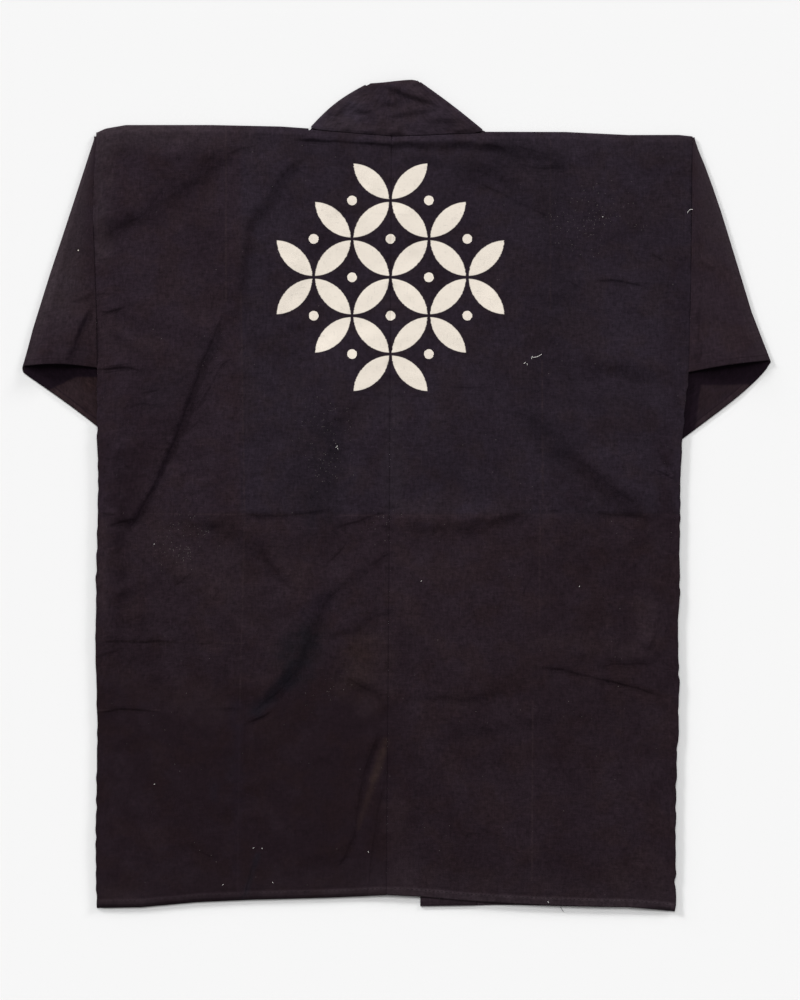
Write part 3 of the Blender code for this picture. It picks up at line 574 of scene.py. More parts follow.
def back_relief(x, y):
    """Creases and unevenness of the back above its plain level; the left back is the more crumpled."""
    worked = mix(1.0, 0.5, smooth((x + 70) / 130)) * mix(0.75, 1.0, smooth((y + 330) / 120))
    height = creased(BACK_FOLDS + BACK_CREASES, x, y)[0]
    height += worked * (0.8 * unevenness(x, y, 62.0, 3) + 0.42 * crumple(x, y, 34.0, 5))
    return height + worked * (0.17 * crumple(x, y, 14.0, 8) + 0.05 * unevenness(x, y, 7.0, 9))


def over_bands(x):
    """One over the collar's bands, which lie under the back, and nought elsewhere."""
    return smooth((x + 110) / 6) * smooth((-33 - x) / 6) + smooth((x - 20) / 6) * smooth((102 - x) / 6)


def side_x(half, y):
    """The side seam, with the small scallops that its stitches pull."""
    scallops = 0.45 * unevenness(0 * y, y, 8.0, 11 + half.outward)
    return eased(half.edge, y) + scallops * mix(0.15, 1.0, smooth((half.sleeve.upper_end_y - y) / 20.0))


def back_level(half, x, y, top):
    """Height of the middle of the cloth of the back.

    The plain level plus the relief, held above the layer below; calm near the fold, the sides and the hem;
    swollen along the neck; puckered along the side seam and the centre seam; raised over the turned-up hem,
    whose very edge drops to the surface where it lies beyond the front's.
    """
    from_side = np.abs(side_x(half, y) - x)
    below_sleeve = smooth((half.sleeve.upper_end_y - y) / 55.0)
    from_centre = np.abs(x - along(CENTRE_BACK, y))
    from_hem = y - along(half.hem_back, x)
    from_neck = along(NECK, x) - y
    calm = smooth((top - y + 1) / 8.0) * mix(0.3, 1.0, smooth(from_side / 18.0))
    calm = calm * mix(0.3, 1.0, smooth(from_hem / 70.0))
    deepest = mix(-1.25, -0.4, over_bands(x)) + 0.3 * bell(from_centre, 10.0)
    height = at_least(calm * (BACK_RISE + back_relief(x, y)), deepest)
    puckers = 0.45 * unevenness(0 * y, y, 7.0, 21) - 0.1
    height += bell(from_centre, 5.0) * puckers * calm
    height -= 0.45 * bell(from_centre, 1.4)
    height += 0.35 * bell(from_neck, 5.0) * smooth((98 - np.abs(x)) / 6)
    height += mix(0.0, 0.6, half.outward > 0) * bell(from_side, 10.0) * below_sleeve
    seam_pull = 0.5 + 0.5 * unevenness(0 * y, y, 9.0, 33)
    height -= mix(0.15, 0.45, half.outward > 0) * seam_pull * bell(from_side - 6.0, 1.5) * below_sleeve
    height += 0.35 * bell(from_side, 4.0) * unevenness(0 * y, y, 6.0, 31) * calm
    height += HEM_RISE * smooth((HEM_BAND - from_hem) / 2.0) - 0.2 * bell(from_hem - HEM_BAND - 0.6, 1.2)
    height -= 0.5 * smooth((60 - from_hem) / 60)
    beyond = along(half.hem_front, x) - along(half.hem_back, x)
    fall = HEM_FALL * smooth((3.2 - from_hem) / 2.8) * smooth(beyond / 3.5)
    return UPPER + np.maximum(height, deepest) - fall


def front_level(x, y):
    """Height of the middle of a front, which lies on the surface: only gentle swells."""
    swell = 0.22 + 0.16 * unevenness(x, y, 48.0, 41) + 0.08 * unevenness(x, y, 19.0, 43)
    return UNDER + np.clip(swell, 0.0, 0.6)


# The forms of the cloth: grids of points in its middle


def body_columns(half):
    """Shares across a body length: (is it beside the neck, share of that part), from the centre outwards."""
    neck_width, side_width = 92.0, 230.0 if half.outward < 0 else 222.0
    neck = stops(neck_width, 2.9, 1.3, 4.0, (0.0,))[:-1] / neck_width
    side = stops(side_width, 2.9, 1.2, 5.0, (side_width,)) / side_width
    return np.repeat([True, False], [len(neck), len(side)]), np.concatenate([neck, side])


def column_x(half, in_neck, share, y, tuck):
    """x of each column at heights y: straight shares between the centre, the front's edge and the side."""
    front_edge = along(half.front_edge, y)
    inner = mix(along(CENTRE_BACK, y) + half.outward * SEAM / 2, front_edge, share)
    outer = mix(front_edge, side_x(half, y) - half.outward * tuck, share)
    return np.where(in_neck, inner, outer)


BACK, FOLD, FRONT = 0, 1, 2


def parts_of(*shares):
    """Part numbers and shares of one row or column after another."""
    return np.repeat(np.arange(len(shares)), [len(part) for part in shares]), np.concatenate(shares)


def body_rows():
    """Rows from the back hem over the shoulder to the front hem: (which part, share of it)."""
    marks = [mark + 443 for mark in WAIST_MARKS]
    back = stops(BACK_LENGTH, 2.75, 1.3, 5.0, marks) / BACK_LENGTH
    front = stops(BACK_LENGTH, 12.0, 2.0, 6.0, (0.0, BACK_LENGTH)) / BACK_LENGTH
    return parts_of(back, half_turn(), front)


def body_sheet(half):
    """Middle of a body length: points, cloth coordinates and which points are cloth.

    A row of the back lies at its share of the way from hem to shoulder. The fold is half a turn of a small
    circle. A front goes on from there to its hem. x and y each depend a little on the other, so they are
    worked out three times over.
    """
    in_neck, share = body_columns(half)
    part, way = (values[:, None] for values in body_rows())
    y = np.zeros((len(part), len(share)))
    tuck = np.where(part == FRONT, TUCK * smooth(way / 0.03), 0.0)
    for _ in range(3):
        x = column_x(half, in_neck, share, y, tuck)
        fold_y = along(half.shoulder, x) - FOLD_RADIUS - CLOTH / 2
        top = np.where(in_neck, np.minimum(along(NECK, x) - NECK_GAP / 2, fold_y), fold_y)
        back_y = mix(along(half.hem_back, x), top, way)
        front_y = mix(fold_y, along(half.hem_front, x), way)
        y = np.choose(part, [back_y, fold_y + 0 * way, front_y])
    x = column_x(half, in_neck, share, y, tuck)
    turn = math.pi * way
    fold_z = UNDER + FOLD_RADIUS * (1 + np.cos(turn))
    z = np.choose(part, [back_level(half, x, y, top), fold_z + 0 * x, front_level(x, y)])
    points = np.stack([x, y + np.where(part == FOLD, FOLD_RADIUS * np.sin(turn), 0.0), z], -1)
    rest = BACK_LENGTH + FOLD_LENGTH
    v = np.choose(part, [BACK_LENGTH * way, BACK_LENGTH + FOLD_LENGTH * way, rest + BACK_LENGTH * way]) + 0 * x
    cloth = np.stack([np.abs(x - along(CENTRE_BACK, y)), v], -1)
    _, drop, signed = creased(BACK_FOLDS + BACK_CREASES, x, y)
    on_back = (part == BACK) + 0.0 * x
    plain = np.array((0.0, 0.0, 0.0, 1.0))
    lines = {
        "crease_drop": on_back * drop * MM,
        "crease_away": signed * MM,
        "lint": on_back * lint_at(x, y),
        "stains_and_shade": plain + on_back[..., None] * (stains_and_shade_at(x, y) - plain),
    }
    return points, cloth, lines, (part == BACK) | ~in_neck[None]


def sleeve_sheet(half):
    """Middle of a sleeve, from its seam with the back round the outer fold to its seam with the front.

    Every row runs at the same share of the way from shoulder to cuff; columns of the upper layer go from
    the seam to the fold, then half a turn of a small circle, then back to the seam underneath. At the cuff
    the upper layer stands up in an arch that is highest at s.lift_across, and the under layer hangs lower.
    """
    s = half.sleeve
    upper = stops(SLEEVE_WIDTH, 2.0, 1.2, 4.0, (0.0,)) / SLEEVE_WIDTH
    part, across = (values[None] for values in parts_of(upper, half_turn(), np.linspace(0.0, 1.0, 34)))
    share = (stops(SLEEVE_LENGTH, 2.2, 1.1, 5.0, (SLEEVE_LENGTH,)) / SLEEVE_LENGTH)[:, None]
    outer = np.stack([mix(s.top_x, s.tip_x, share), mix(s.top_y, s.tip_y, share)], -1)
    run = np.array((s.tip_x - s.top_x, s.tip_y - s.top_y))
    outward = np.array((-run[1], run[0])) / np.hypot(*run) * half.outward
    core = outer + outward * (along(s.bulge, share)[..., None] - FOLD_RADIUS - CLOTH / 2)
    least = half.outward * side_x(half, core[..., 1]) + ARMHOLE_GAP + FOLD_LEAST
    core[..., 0] = half.outward * np.maximum(half.outward * core[..., 0], least)
    seam_y = mix(s.top_y, np.where(part == BACK, s.upper_end_y, s.under_end_y), share)
    tuck = np.where(part == FRONT, TUCK * smooth(share / 0.08), 0.0)
    seam = np.stack([side_x(half, seam_y) + half.outward * (ARMHOLE_GAP - tuck), seam_y], -1)
    from_seam = np.where(part == BACK, across, 1 - across)[..., None]
    flat = mix(seam, core, from_seam)
    turn = math.pi * across
    bow = np.sin(turn) * share**4 * s.upper_bow
    hang = share**6 * s.tip_droop
    droop = np.sin(math.pi * across**0.6) * share**4 * s.under_bow + (1 - across) ** 2 * hang
    x, y = flat[..., 0], flat[..., 1] + np.where(part == BACK, bow, -droop)
    from_cuff = (1 - share) * SLEEVE_LENGTH
    arch = np.where(across < s.lift_across, across / s.lift_across, (1 - across) / (1 - s.lift_across))
    mouth = smooth((share - 0.5) / 0.5) * smooth(arch * 1.15) * mix(1.0, 0.8, arch)
    relief = creased(SLEEVE_CREASES[half.side], x, y)[0]
    relief += 0.5 * unevenness(x, y, 45.0, 51) + 0.3 * crumple(x, y, 22.0, 53)
    seam_gap = across * np.abs(core[..., 0] - seam[..., 0])
    calm = smooth(share / 0.12) * smooth((1 - across) / 0.17)
    upper_z = UPPER + calm * at_least(relief + 1.0, -0.7) + s.lift * mouth - 0.1 * bell(seam_gap, 1.6)
    under_z = UNDER + 0.15 + 0.1 * unevenness(x, y, 30.0, 57) + 0.25 * smooth((CUFF_BAND - from_cuff) / 1.6)
    round_x = core[..., 0] + outward[0] * FOLD_RADIUS * np.sin(turn)
    round_y = core[..., 1] + outward[1] * FOLD_RADIUS * np.sin(turn) - smooth(across) * hang
    round_z = UNDER + FOLD_RADIUS * (1 + np.cos(turn)) + 0 * x
    part = part + 0 * x.astype(int)
    z = np.choose(part, [upper_z, round_z, np.maximum(under_z, UNDER)])
    points = np.stack([np.where(part == FOLD, round_x, x), np.where(part == FOLD, round_y, y), z], -1)
    in_layer = from_seam[..., 0] * SLEEVE_WIDTH
    u = np.choose(part, [in_layer, SLEEVE_WIDTH + 2, 2 * SLEEVE_WIDTH + SLEEVE_FOLD - in_layer])
    return points, np.stack([u, SLEEVE_LENGTH * share + 0 * x], -1)


def collar_lines():
    """The collar's seam line and free edge from the left front hem to the right one, with its bow.

    Between the mitres they follow the table; at a mitre both go half a turn round a small circle whose
    axis is the mitre's line; under the coat they run down beside the front's edge.
    """
    pieces = []
    seam_turn, edge_turn = np.array(COLLAR_TURN, float).T
    low = seam_turn[-1]
    down = np.linspace(low, 0, 60)[1:]
    for mitre, front, edge, hem, sign in (
        (MITRE_LEFT, FRONT_EDGE_LEFT, COLLAR_EDGE_LEFT, HEM_FRONT_LEFT, -1),
        (MITRE_RIGHT, FRONT_EDGE_RIGHT, COLLAR_EDGE_RIGHT, HEM_FRONT_RIGHT, 1),
    ):
        a, b = np.array((mitre.seam_x, mitre.seam_y)), np.array((mitre.edge_x, mitre.edge_y))
        run = (b - a) / np.hypot(*(b - a))
        outward = np.array((run[1], -run[0])) * sign
        turn = np.linspace(0, math.pi, 9)[:, None]
        shift = outward * (FOLD_RADIUS * np.sin(turn) - FOLD_RADIUS - BAND / 2)
        level = BAND_UNDER + FOLD_RADIUS * (1 + np.cos(turn))
        fold = np.hstack([a + shift, b + shift, level, outward * mitre.bow + 0 * turn])
        hem_a, hem_b = along(hem, along(front, -430)), along(hem, along(edge, -430))
        seam_y = np.concatenate([seam_turn, mix(low, hem_a, 1 - down / low)])
        edge_y = np.concatenate([edge_turn, mix(low, hem_b, 1 - down / low)])
        seam_x, flat = along(front, seam_y) - sign * BAND_GAP, np.zeros_like(seam_y)
        under = np.stack([seam_x, seam_y, along(edge, edge_y), edge_y, flat + BAND_UNDER, flat, flat], -1)
        pieces.append((fold, under, outward))
    (left_fold, left_under, left_out), (right_fold, right_under, right_out) = pieces
    step = np.linspace(0, len(COLLAR_BACK) - 1, 120)
    seam_x, edge_x, edge_y, bow = (np.interp(step, range(len(COLLAR_BACK)), column) for column in zip(*COLLAR_BACK))
    way = smooth((seam_x + 20) / 40)[:, None]
    back = np.stack([seam_x, along(NECK, seam_x) + NECK_GAP / 2, edge_x, edge_y, BAND_UPPER + 0 * step], -1)
    back = np.hstack([back, mix(left_out, right_out, way) * bow[:, None]])
    return np.concatenate([left_under[::-1], left_fold[::-1], back, right_fold, right_under])


def collar_shell():
    """The collar as a closed band: points of its middle, normals and half thickness.

    A point lies at its share across from the seam line to the free edge, moved by the bow. The thickness
    is that of a slab with round edges.
    """
    seam_x, seam_y, edge_x, edge_y, level, bow_x, bow_y = collar_lines().T[..., None]
    across = stops(1.0, 1 / 26, 1 / 110, 0.05, (0.0, 1.0))[None]
    x = mix(seam_x, edge_x, across) + bow_x * np.sin(math.pi * across)
    y = mix(seam_y, edge_y, across) + bow_y * np.sin(math.pi * across)
    z = level + 0 * across
    on_top = smooth((z - BAND_UPPER + 0.6) / 0.6)
    relief = creased(COLLAR_CREASES, x, y)[0]
    relief += 0.6 * unevenness(x, y, 24.0, 61) + 0.35 * crumple(x, y, 11.0, 63)
    z = z + on_top * at_least(relief + 0.9, -0.3) * smooth(across / 0.08)
    points = np.stack([x, y, z], -1)
    normal = np.cross(np.gradient(points, axis=0), np.gradient(points, axis=1))
    normal /= np.linalg.norm(normal, axis=-1, keepdims=True)
    edge = np.clip(BAND_WIDTH * np.minimum(across / 0.4, (1 - across) / (BAND / 2)), 0, 1)
    half = BAND / 2 * np.sqrt(1 - (1 - edge) ** 2)
    leg = np.linalg.norm(np.diff(points[:, len(across[0]) // 2], axis=0), axis=-1)
    v = np.concatenate([[0.0], np.cumsum(leg)])[:, None]
    cloth = np.stack([BAND_WIDTH * across + 0 * v, v + 0 * across], -1)
    return points, normal, half[..., None] + 0 * points[..., :1], cloth


# From arrays to pieces


def quads_of(rows, columns, flip=False):
    """Corner numbers of every square of a grid, anticlockwise seen from outside."""
    index = np.arange(rows * columns).reshape(rows, columns)
    quads = np.stack([index[:-1, :-1], index[:-1, 1:], index[1:, 1:], index[1:, :-1]], -1).reshape(-1, 4)
    return quads[:, ::-1] if flip else quads


def linked(name, data):
    """An object of the data, in the scene."""
    made = bpy.data.objects.new(name, data)
    bpy.context.scene.collection.objects.link(made)
    return made


def make_piece(name, points, faces, material, cloth=None, lines=None):
    """A smooth-shaded object at the origin from points in millimetres, with its cloth coordinates as UVs
    and with its creases, stains, painted shade and lint as attributes of its points."""
    mesh = bpy.data.meshes.new(name)
    mesh.from_pydata((points * MM).tolist(), [], faces)
    if cloth is not None:
        corners = np.empty(len(mesh.loops), int)
        mesh.loops.foreach_get("vertex_index", corners)
        layer = mesh.uv_layers.new(name="cloth")
        layer.data.foreach_set("uv", (cloth[corners] * MM).astype(np.float32).ravel())
    for key, values in (lines or {}).items():
        kind, field = ("FLOAT_COLOR", "color") if values.ndim > 1 else ("FLOAT", "value")
        layer = mesh.attributes.new(key, kind, "POINT")
        layer.data.foreach_set(field, values.astype(np.float32).ravel())
    mesh.shade_smooth()
    mesh.materials.append(material)
    piece = linked(name, mesh)
    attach(piece, "root")
    return piece


def make_sheet(name, points, cloth, material, flip, lines=None, kept=None, wall=CLOTH):
    """A piece of cloth from a grid of its middle points, given its wall by Solidify."""
    rows, columns = points.shape[:2]
    faces = quads_of(rows, columns, flip)
    points, cloth = points.reshape(-1, 3), cloth.reshape(-1, 2)
    lines = {key: values.reshape(rows * columns, *values.shape[2:]) for key, values in (lines or {}).items()}
    if kept is not None:
        kept = np.broadcast_to(kept, (rows, columns)).ravel()
        used, faces = np.unique(faces[kept[faces].all(1)], return_inverse=True)
        faces, points, cloth = faces.reshape(-1, 4), points[used], cloth[used]
        lines = {key: values[used] for key, values in lines.items()}
    piece = make_piece(name, points, faces.tolist(), material, cloth, lines)
    solid = piece.modifiers.new("wall", "SOLIDIFY")
    solid.thickness = wall * MM
    solid.offset = 0.0
    return piece


def tube_quads(index, forward=True):
    """Squares between each ring of corner numbers and the next, all the way round."""
    after = np.roll(index, -1, axis=1)
    corners = [index[:-1], after[:-1], after[1:], index[1:]]
    return np.stack(corners if forward else corners[:1] + corners[:0:-1], -1).reshape(-1, 4).tolist()


def make_band(name, material):
    """The collar: its upper and under faces joined along both round edges and closed at the hems."""
    middle, normal, half, cloth = collar_shell()
    rows, columns = middle.shape[:2]
    top, under = middle + normal * half, middle - normal * half
    ring = np.concatenate([top, under[:, -2:0:-1]], axis=1)
    cloth = np.concatenate([cloth, cloth[:, -2:0:-1]], axis=1)
    index = np.arange(rows * ring.shape[1]).reshape(rows, -1)
    lower = np.concatenate([index[:, :1], index[:, : columns - 1 : -1], index[:, columns - 1 : columns]], axis=1)
    faces = tube_quads(index)
    for row, turned in ((0, -1), (-1, 1)):
        upper = index[row, :columns]
        caps = np.stack([upper[:-1], upper[1:], lower[row, 1:], lower[row, :-1]], -1)[:, ::turned]
        faces += [list(dict.fromkeys(cap)) for cap in caps.tolist()]
    return make_piece(name, ring.reshape(-1, 3), faces, material, cloth.reshape(-1, 2))


def make_tubes(name, paths, material, sides=6):
    """Threads: a ring of points carried along each path and drawn to a point at both ends."""
    points, faces, count = [], [], 0
    angle = np.linspace(0, 2 * math.pi, sides, endpoint=False)[None, :, None]
    for path in paths:
        path = np.array(path, float)
        ahead = np.gradient(path, axis=0)
        ahead /= np.linalg.norm(ahead, axis=1, keepdims=True)
        across = np.cross(ahead, (0.0, 0.0, 1.0))
        across /= np.linalg.norm(across, axis=1, keepdims=True) + 1e-9
        up = np.cross(across, ahead)
        share = np.linspace(-1, 1, len(path))[:, None, None]
        thick = THREAD * (0.05 + 0.95 * np.sqrt(np.clip(1 - share**6, 0, 1)))
        ring = across[:, None] * np.cos(angle) + up[:, None] * np.sin(angle)
        points.append((path[:, None] + ring * thick).reshape(-1, 3))
        index = np.arange(len(path) * sides).reshape(-1, sides) + count
        faces += tube_quads(index, forward=False) + [index[0].tolist(), index[-1, ::-1].tolist()]
        count += index.size
    return make_piece(name, np.concatenate(points), faces, material)


def surface_of_back(x, y):
    """Height of the outer face of the back at arrays x and y, away from the shoulder's fold."""
    top = np.full_like(x, BACK_TOP)
    left, right = back_level(LEFT, x, y, top), back_level(RIGHT, x, y, top)
    return np.where(x < along(CENTRE_BACK, y), left, right) + CLOTH / 2


def stitch_row(x, y, z, seed, length=2.6, pitch=4.6):
    """Short arched stitches along a line of points, evenly spaced with a little sewing error."""
    line = np.stack([x, y, z], -1)
    run = np.concatenate([[0.0], np.cumsum(np.linalg.norm(np.diff(line, axis=0), axis=1))])
    starts = np.arange(pitch, run[-1] - pitch, pitch)
    starts = starts + np.random.default_rng(seed).normal(0, 0.25, len(starts))
    places = starts[:, None] + np.linspace(0, length, 5)
    arch = np.array((-0.1, 0.1, 0.14, 0.1, -0.1))
    return np.stack([np.interp(places, run, x), np.interp(places, run, y), np.interp(places, run, z) + arch], -1)


# Materials


class Wire:
    """A node's output, to be reckoned with: each operator adds the Math node of its name."""

    def __init__(self, net, socket):
        self.net, self.socket = net, socket

    def other(self, output):
        """Another output of the same node, by its name or number."""
        return Wire(self.net, self.socket.node.outputs[output])

    def __add__(self, value):
        return self.net.math("ADD", self, value)

    def __sub__(self, value):
        return self.net.math("SUBTRACT", self, value)

    def __rsub__(self, value):
        return self.net.math("SUBTRACT", value, self)

    def __mul__(self, value):
        return self.net.math("MULTIPLY", self, value)

    def __truediv__(self, value):
        return self.net.math("DIVIDE", self, value)

    def __lt__(self, value):
        return self.net.math("LESS_THAN", self, value)


class Net:
    """Short names for building one node tree; each call gives back the new node's output as a wire."""

    def __init__(self, tree):
        self.tree = tree

    def add(self, kind, inputs=(), output=0, **settings):
        node = self.tree.nodes.new(kind)
        for key, value in settings.items():
            setattr(node, key, value)
        for key, value in dict(inputs).items():
            self.feed(node.inputs[key], value)
        return Wire(self, node.outputs[output])

    def feed(self, socket, value):
        if isinstance(value, Wire):
            self.tree.links.new(value.socket, socket)
        else:
            socket.default_value = value

    def math(self, operation, *values, output=0, **settings):
        """A Math node, or a Vector Math node where any value is a vector or a colour."""
        kinds = {value.socket.type if isinstance(value, Wire) else type(value) for value in values}
        kind = "ShaderNodeMath" if kinds <= {"VALUE", int, float} else "ShaderNodeVectorMath"
        return self.add(kind, enumerate(values), output, operation=operation, **settings)

    def length(self, vector):
        return self.math("LENGTH", vector, output=1)

    def dot(self, a, b):
        return self.math("DOT_PRODUCT", a, b, output=1)

    def scaled(self, colour, value):
        """The colour times a value."""
        return self.add("ShaderNodeVectorMath", {0: colour, "Scale": value}, operation="SCALE")

    def split(self, vector):
        first = self.add("ShaderNodeSeparateXYZ", {0: vector})
        return first, first.other(1), first.other(2)

    def join(self, x, y=0.0):
        return self.add("ShaderNodeCombineXYZ", {0: x, 1: y})

    def noise(self, where, stretch, detail=2.0, roughness=0.5):
        """Noise about a half, with `stretch` cycles a metre along each axis."""
        settings = {"Vector": where * stretch, "Scale": 1.0, "Detail": detail, "Roughness": roughness}
        return self.add("ShaderNodeTexNoise", settings)

    def span(self, value, low, high, to_low=0.0, to_high=1.0):
        """Smooth step of a value from low to high."""
        numbers = {0: value, 1: low, 2: high, 3: to_low, 4: to_high}
        return self.add("ShaderNodeMapRange", numbers, interpolation_type="SMOOTHSTEP")

    def blend(self, share, a, b, blend_type="MIX"):
        """A share of the way from colour a to colour b, or to a times b where the type is MULTIPLY."""
        numbers = {0: share, 6: a, 7: b}
        return self.add("ShaderNodeMix", numbers, 2, data_type="RGBA", blend_type=blend_type)

    def reading(self, name):
        """A number that the points of the mesh carry."""
        return self.add("ShaderNodeAttribute", output=2, attribute_name=name)


def shader_group(name, **inputs):
    """Makes a shader group of the function below it, which then places the group in a net.

    An input is given as its kind, or as a number's start value. The function is handed a wire for each of
    them and gives back the group's outputs by name.
    """

    def build_with(build):
        tree = bpy.data.node_groups.new(name, "ShaderNodeTree")
        net = Net(tree)
        for key, start in inputs.items():
            kind = start if isinstance(start, str) else "Float"
            socket = tree.interface.new_socket(key.capitalize(), in_out="INPUT", socket_type="NodeSocket" + kind)
            if kind == "Float":
                socket.default_value = start
        source = net.add("NodeGroupInput")
        results = build(net, **{key: source.other(key.capitalize()) for key in inputs})
        for key, wire in results.items():
            kind = "Float" if wire.socket.type == "VALUE" else "Color"
            tree.interface.new_socket(key, in_out="OUTPUT", socket_type="NodeSocket" + kind)
        sink = tree.nodes.new("NodeGroupOutput")
        for key, wire in results.items():
            net.feed(sink.inputs[key], wire)

        def place_group(net, **values):
            values = {key.capitalize(): value for key, value in values.items()}
            return net.add("ShaderNodeGroup", values, node_tree=tree)

        return place_group

    return build_with


@shader_group("plain_weave", cloth="Vector", warp=0.5, weft=0.4, grain=0.4, slubs=0.3)
def plain_weave(net, cloth, warp, weft, grain, slubs):
    """Plain weave of hand-spun yarn.

    Shade: noise drawn out along the warp and along the weft, short thick slubs, and an even grain. Height:
    the over and under of the yarns, sin(u) * sin(v), with the streaks on top.
    """
    upright = net.noise(cloth, (430.0, 120.0, 0.0), 3.0, 0.7)
    level = net.noise(cloth, (110.0, 440.0, 0.0), 3.0, 0.7)
    even = net.noise(cloth, (180.0, 200.0, 0.0), 5.0, 0.88)
    level_slub = net.span(net.noise(cloth, (90.0, 640.0, 0.0), 1.0), 0.6, 0.76)
    upright_slub = net.span(net.noise(cloth, (600.0, 80.0, 5.0), 1.0), 0.61, 0.78)
    thick = (level_slub + upright_slub) * slubs
    shade = (upright - 0.5) * warp + (level - 0.5) * weft + (even - 0.5) * grain + thick + MEAN_SHADE
    u, v, _ = net.split(cloth * (2 * math.pi / WARP_PITCH, 2 * math.pi / WEFT_PITCH, 0.0))
    yarns = net.math("SINE", u) * net.math("SINE", v)
    height = yarns * 0.35 + thick * 2.0 + (upright + level) + even
    return {"Shade": net.math("MAXIMUM", shade, 0.2), "Height": height}


@shader_group("dyed_cotton", place="Vector", deep="Color", faded="Color", fade=0.5, mottle=1.0)
def dyed_cotton(net, place, deep, faded, fade, mottle):
    """Dyed cotton, faded in patches: one colour towards another by two noises and a given fade, then
    warmed in other patches where the dye has gone brown."""
    broad = net.noise(place, (9.0, 8.0, 9.0), 3.0, 0.55)
    cloudy = net.noise(place, (42.0, 34.0, 42.0), 3.0, 0.65)
    patches = (broad - 0.5) + (cloudy - 0.5)
    colour = net.blend(net.math("ADD", fade, patches * mottle, use_clamp=True), deep, faded)
    brown = net.span(net.noise(place, (26.0, 31.0, 26.0), 3.0, 0.6), 0.44, 0.62)
    return {"Colour": net.blend(brown, colour, BROWNING, "MULTIPLY")}


@shader_group("worn_line", place="Vector", start="Vector", end="Vector", width=0.002)
def worn_line(net, place, start, end, width):
    """A worn line: one on the straight way from one point to another, nought at `Width` from it, and
    broken up by noise. The distance is to the nearest point of the way, found by projection."""
    offset, leg = place - start, end - start
    share = net.math("DIVIDE", net.dot(offset, leg), net.dot(leg, leg), use_clamp=True)
    away = (offset - net.scaled(leg, share)) * (1.0, 1.0, 0.0)
    line = net.math("SUBTRACT", 1.0, net.length(away) / width, use_clamp=True)
    return {"Line": line * net.span(net.noise(place, (90.0, 90.0, 0.0), 3.0, 0.7), 0.34, 0.6, 0.25, 1.0)}


@shader_group(
    "seven_treasures_lattice", place="Vector", middle="Vector", pitch=0.06, gap=0.0015, dot=0.005, reach=0.1
)
def seven_treasures_lattice(net, place, middle, pitch, gap, dot, reach):
    """Patch of the seven-treasures lattice: circles that overlap by a quarter, so that four lens-shaped
    petals meet at every node. About a node, a petal along x is where both circle centres beside it are
    within the radius; whole petals are kept where their middle is inside the patch. A dot sits in each
    circle."""
    ragged = net.noise(place, (420.0, 420.0, 0.0), 2.0, 0.7)
    flat = (place - middle) * (1.0, 1.0, 0.0) + net.join((ragged - 0.5) * 0.0022)
    turned = net.add("ShaderNodeVectorRotate", {"Vector": flat, "Angle": math.pi / 4}, rotation_type="Z_AXIS")
    half = pitch * 0.5
    radius = pitch * math.sqrt(0.5) - gap
    x, y, _ = net.split(turned)
    node_x, node_y = net.math("ROUND", x / pitch) * pitch, net.math("ROUND", y / pitch) * pitch
    px, py = x - node_x, y - node_y
    ax, ay = net.math("ABSOLUTE", px), net.math("ABSOLUTE", py)
    step_x = node_x + net.math("SIGN", px) * half
    step_y = node_y + net.math("SIGN", py) * half

    def petal(a, b, middle_x, middle_y):
        inside = radius - net.length(net.join(half - a, half + b))
        return net.span(inside, -0.0004, 0.0005) * (net.length(net.join(middle_x, middle_y)) < reach)

    petals = net.math("MAXIMUM", petal(ax, ay, step_x, node_y), petal(ay, ax, node_x, step_y))
    in_circle = net.length(net.join(ax - half, ay - half)) < dot
    dots = in_circle * (net.length(net.join(step_x, step_y)) < reach)
    return {"Print": net.math("MAXIMUM", petals, dots)}


@shader_group("lint_specks", place="Vector", amount=0.1)
def lint_specks(net, place, amount):
    """Specks of lint: one small spot in some cells of a random pattern, more of them where Amount is high."""
    distance = net.add("ShaderNodeTexVoronoi", {"Vector": place * (560.0, 560.0, 0.0), "Scale": 1.0})
    red, green, _ = net.split(distance.other("Color"))
    return {"Specks": (red < amount) * (distance < green * 0.14 + 0.08)}


@shader_group("fold_line", drop=0.0, away=0.0, half=0.0018, most=0.0030)
def fold_line(net, drop, away, half, most):
    """The sharp line of a crease: height -0.3 drop * t * exp(-t^2), where t is the distance over the half
    width."""
    t = away / half
    return {"Height": net.math("MINIMUM", drop, most) * t * (net.math("EXPONENT", t * t * -1.0) * -0.3)}


def principled(name, roughness, specular):
    """A new material, its net and the inputs of its shader."""
    material = bpy.data.materials.new(name)
    material.use_nodes = True
    sockets = material.node_tree.nodes["Principled BSDF"].inputs
    sockets["Metallic"].default_value = 0.0
    sockets["Roughness"].default_value = roughness
    sockets["Specular IOR Level"].default_value = specular
    return material, Net(material.node_tree), sockets


def cotton(name):
    """A material of dull cotton, its net and shader's inputs, the place on the coat and that on the cloth."""
    material, net, sockets = principled(f"black_cotton_{name}", 0.9, 0.05)
    return material, net, sockets, net.add("ShaderNodeTexCoord", output=3), on_cloth(net)


def on_cloth(net):
    return net.add("ShaderNodeUVMap", uv_map="cloth")


def finish_cotton(net, sockets, colour, height, folds=None):
    """Feeds colour, the bump of the yarns over that of the fold lines, and a roughness that follows the
    yarns."""
    net.feed(sockets["Base Color"], colour)
    weave = {"Height": height, "Distance": 0.00012, "Strength": 0.35}
    if folds is not None:
        weave["Normal"] = net.add("ShaderNodeBump", {"Height": folds, "Distance": 1.0, "Strength": 1.0})
    net.feed(sockets["Normal"], net.add("ShaderNodeBump", weave))
    net.feed(sockets["Roughness"], net.span(height, 0.5, 2.5, 0.84, 0.96))


def line_between(net, place, line, width):
    """A worn line between two points given in millimetres."""
    start, end = ((x * MM, y * MM, 0.0) for x, y in (line[:2], line[2:]))
    return worn_line(net, place=place, start=start, end=end, width=width * MM)


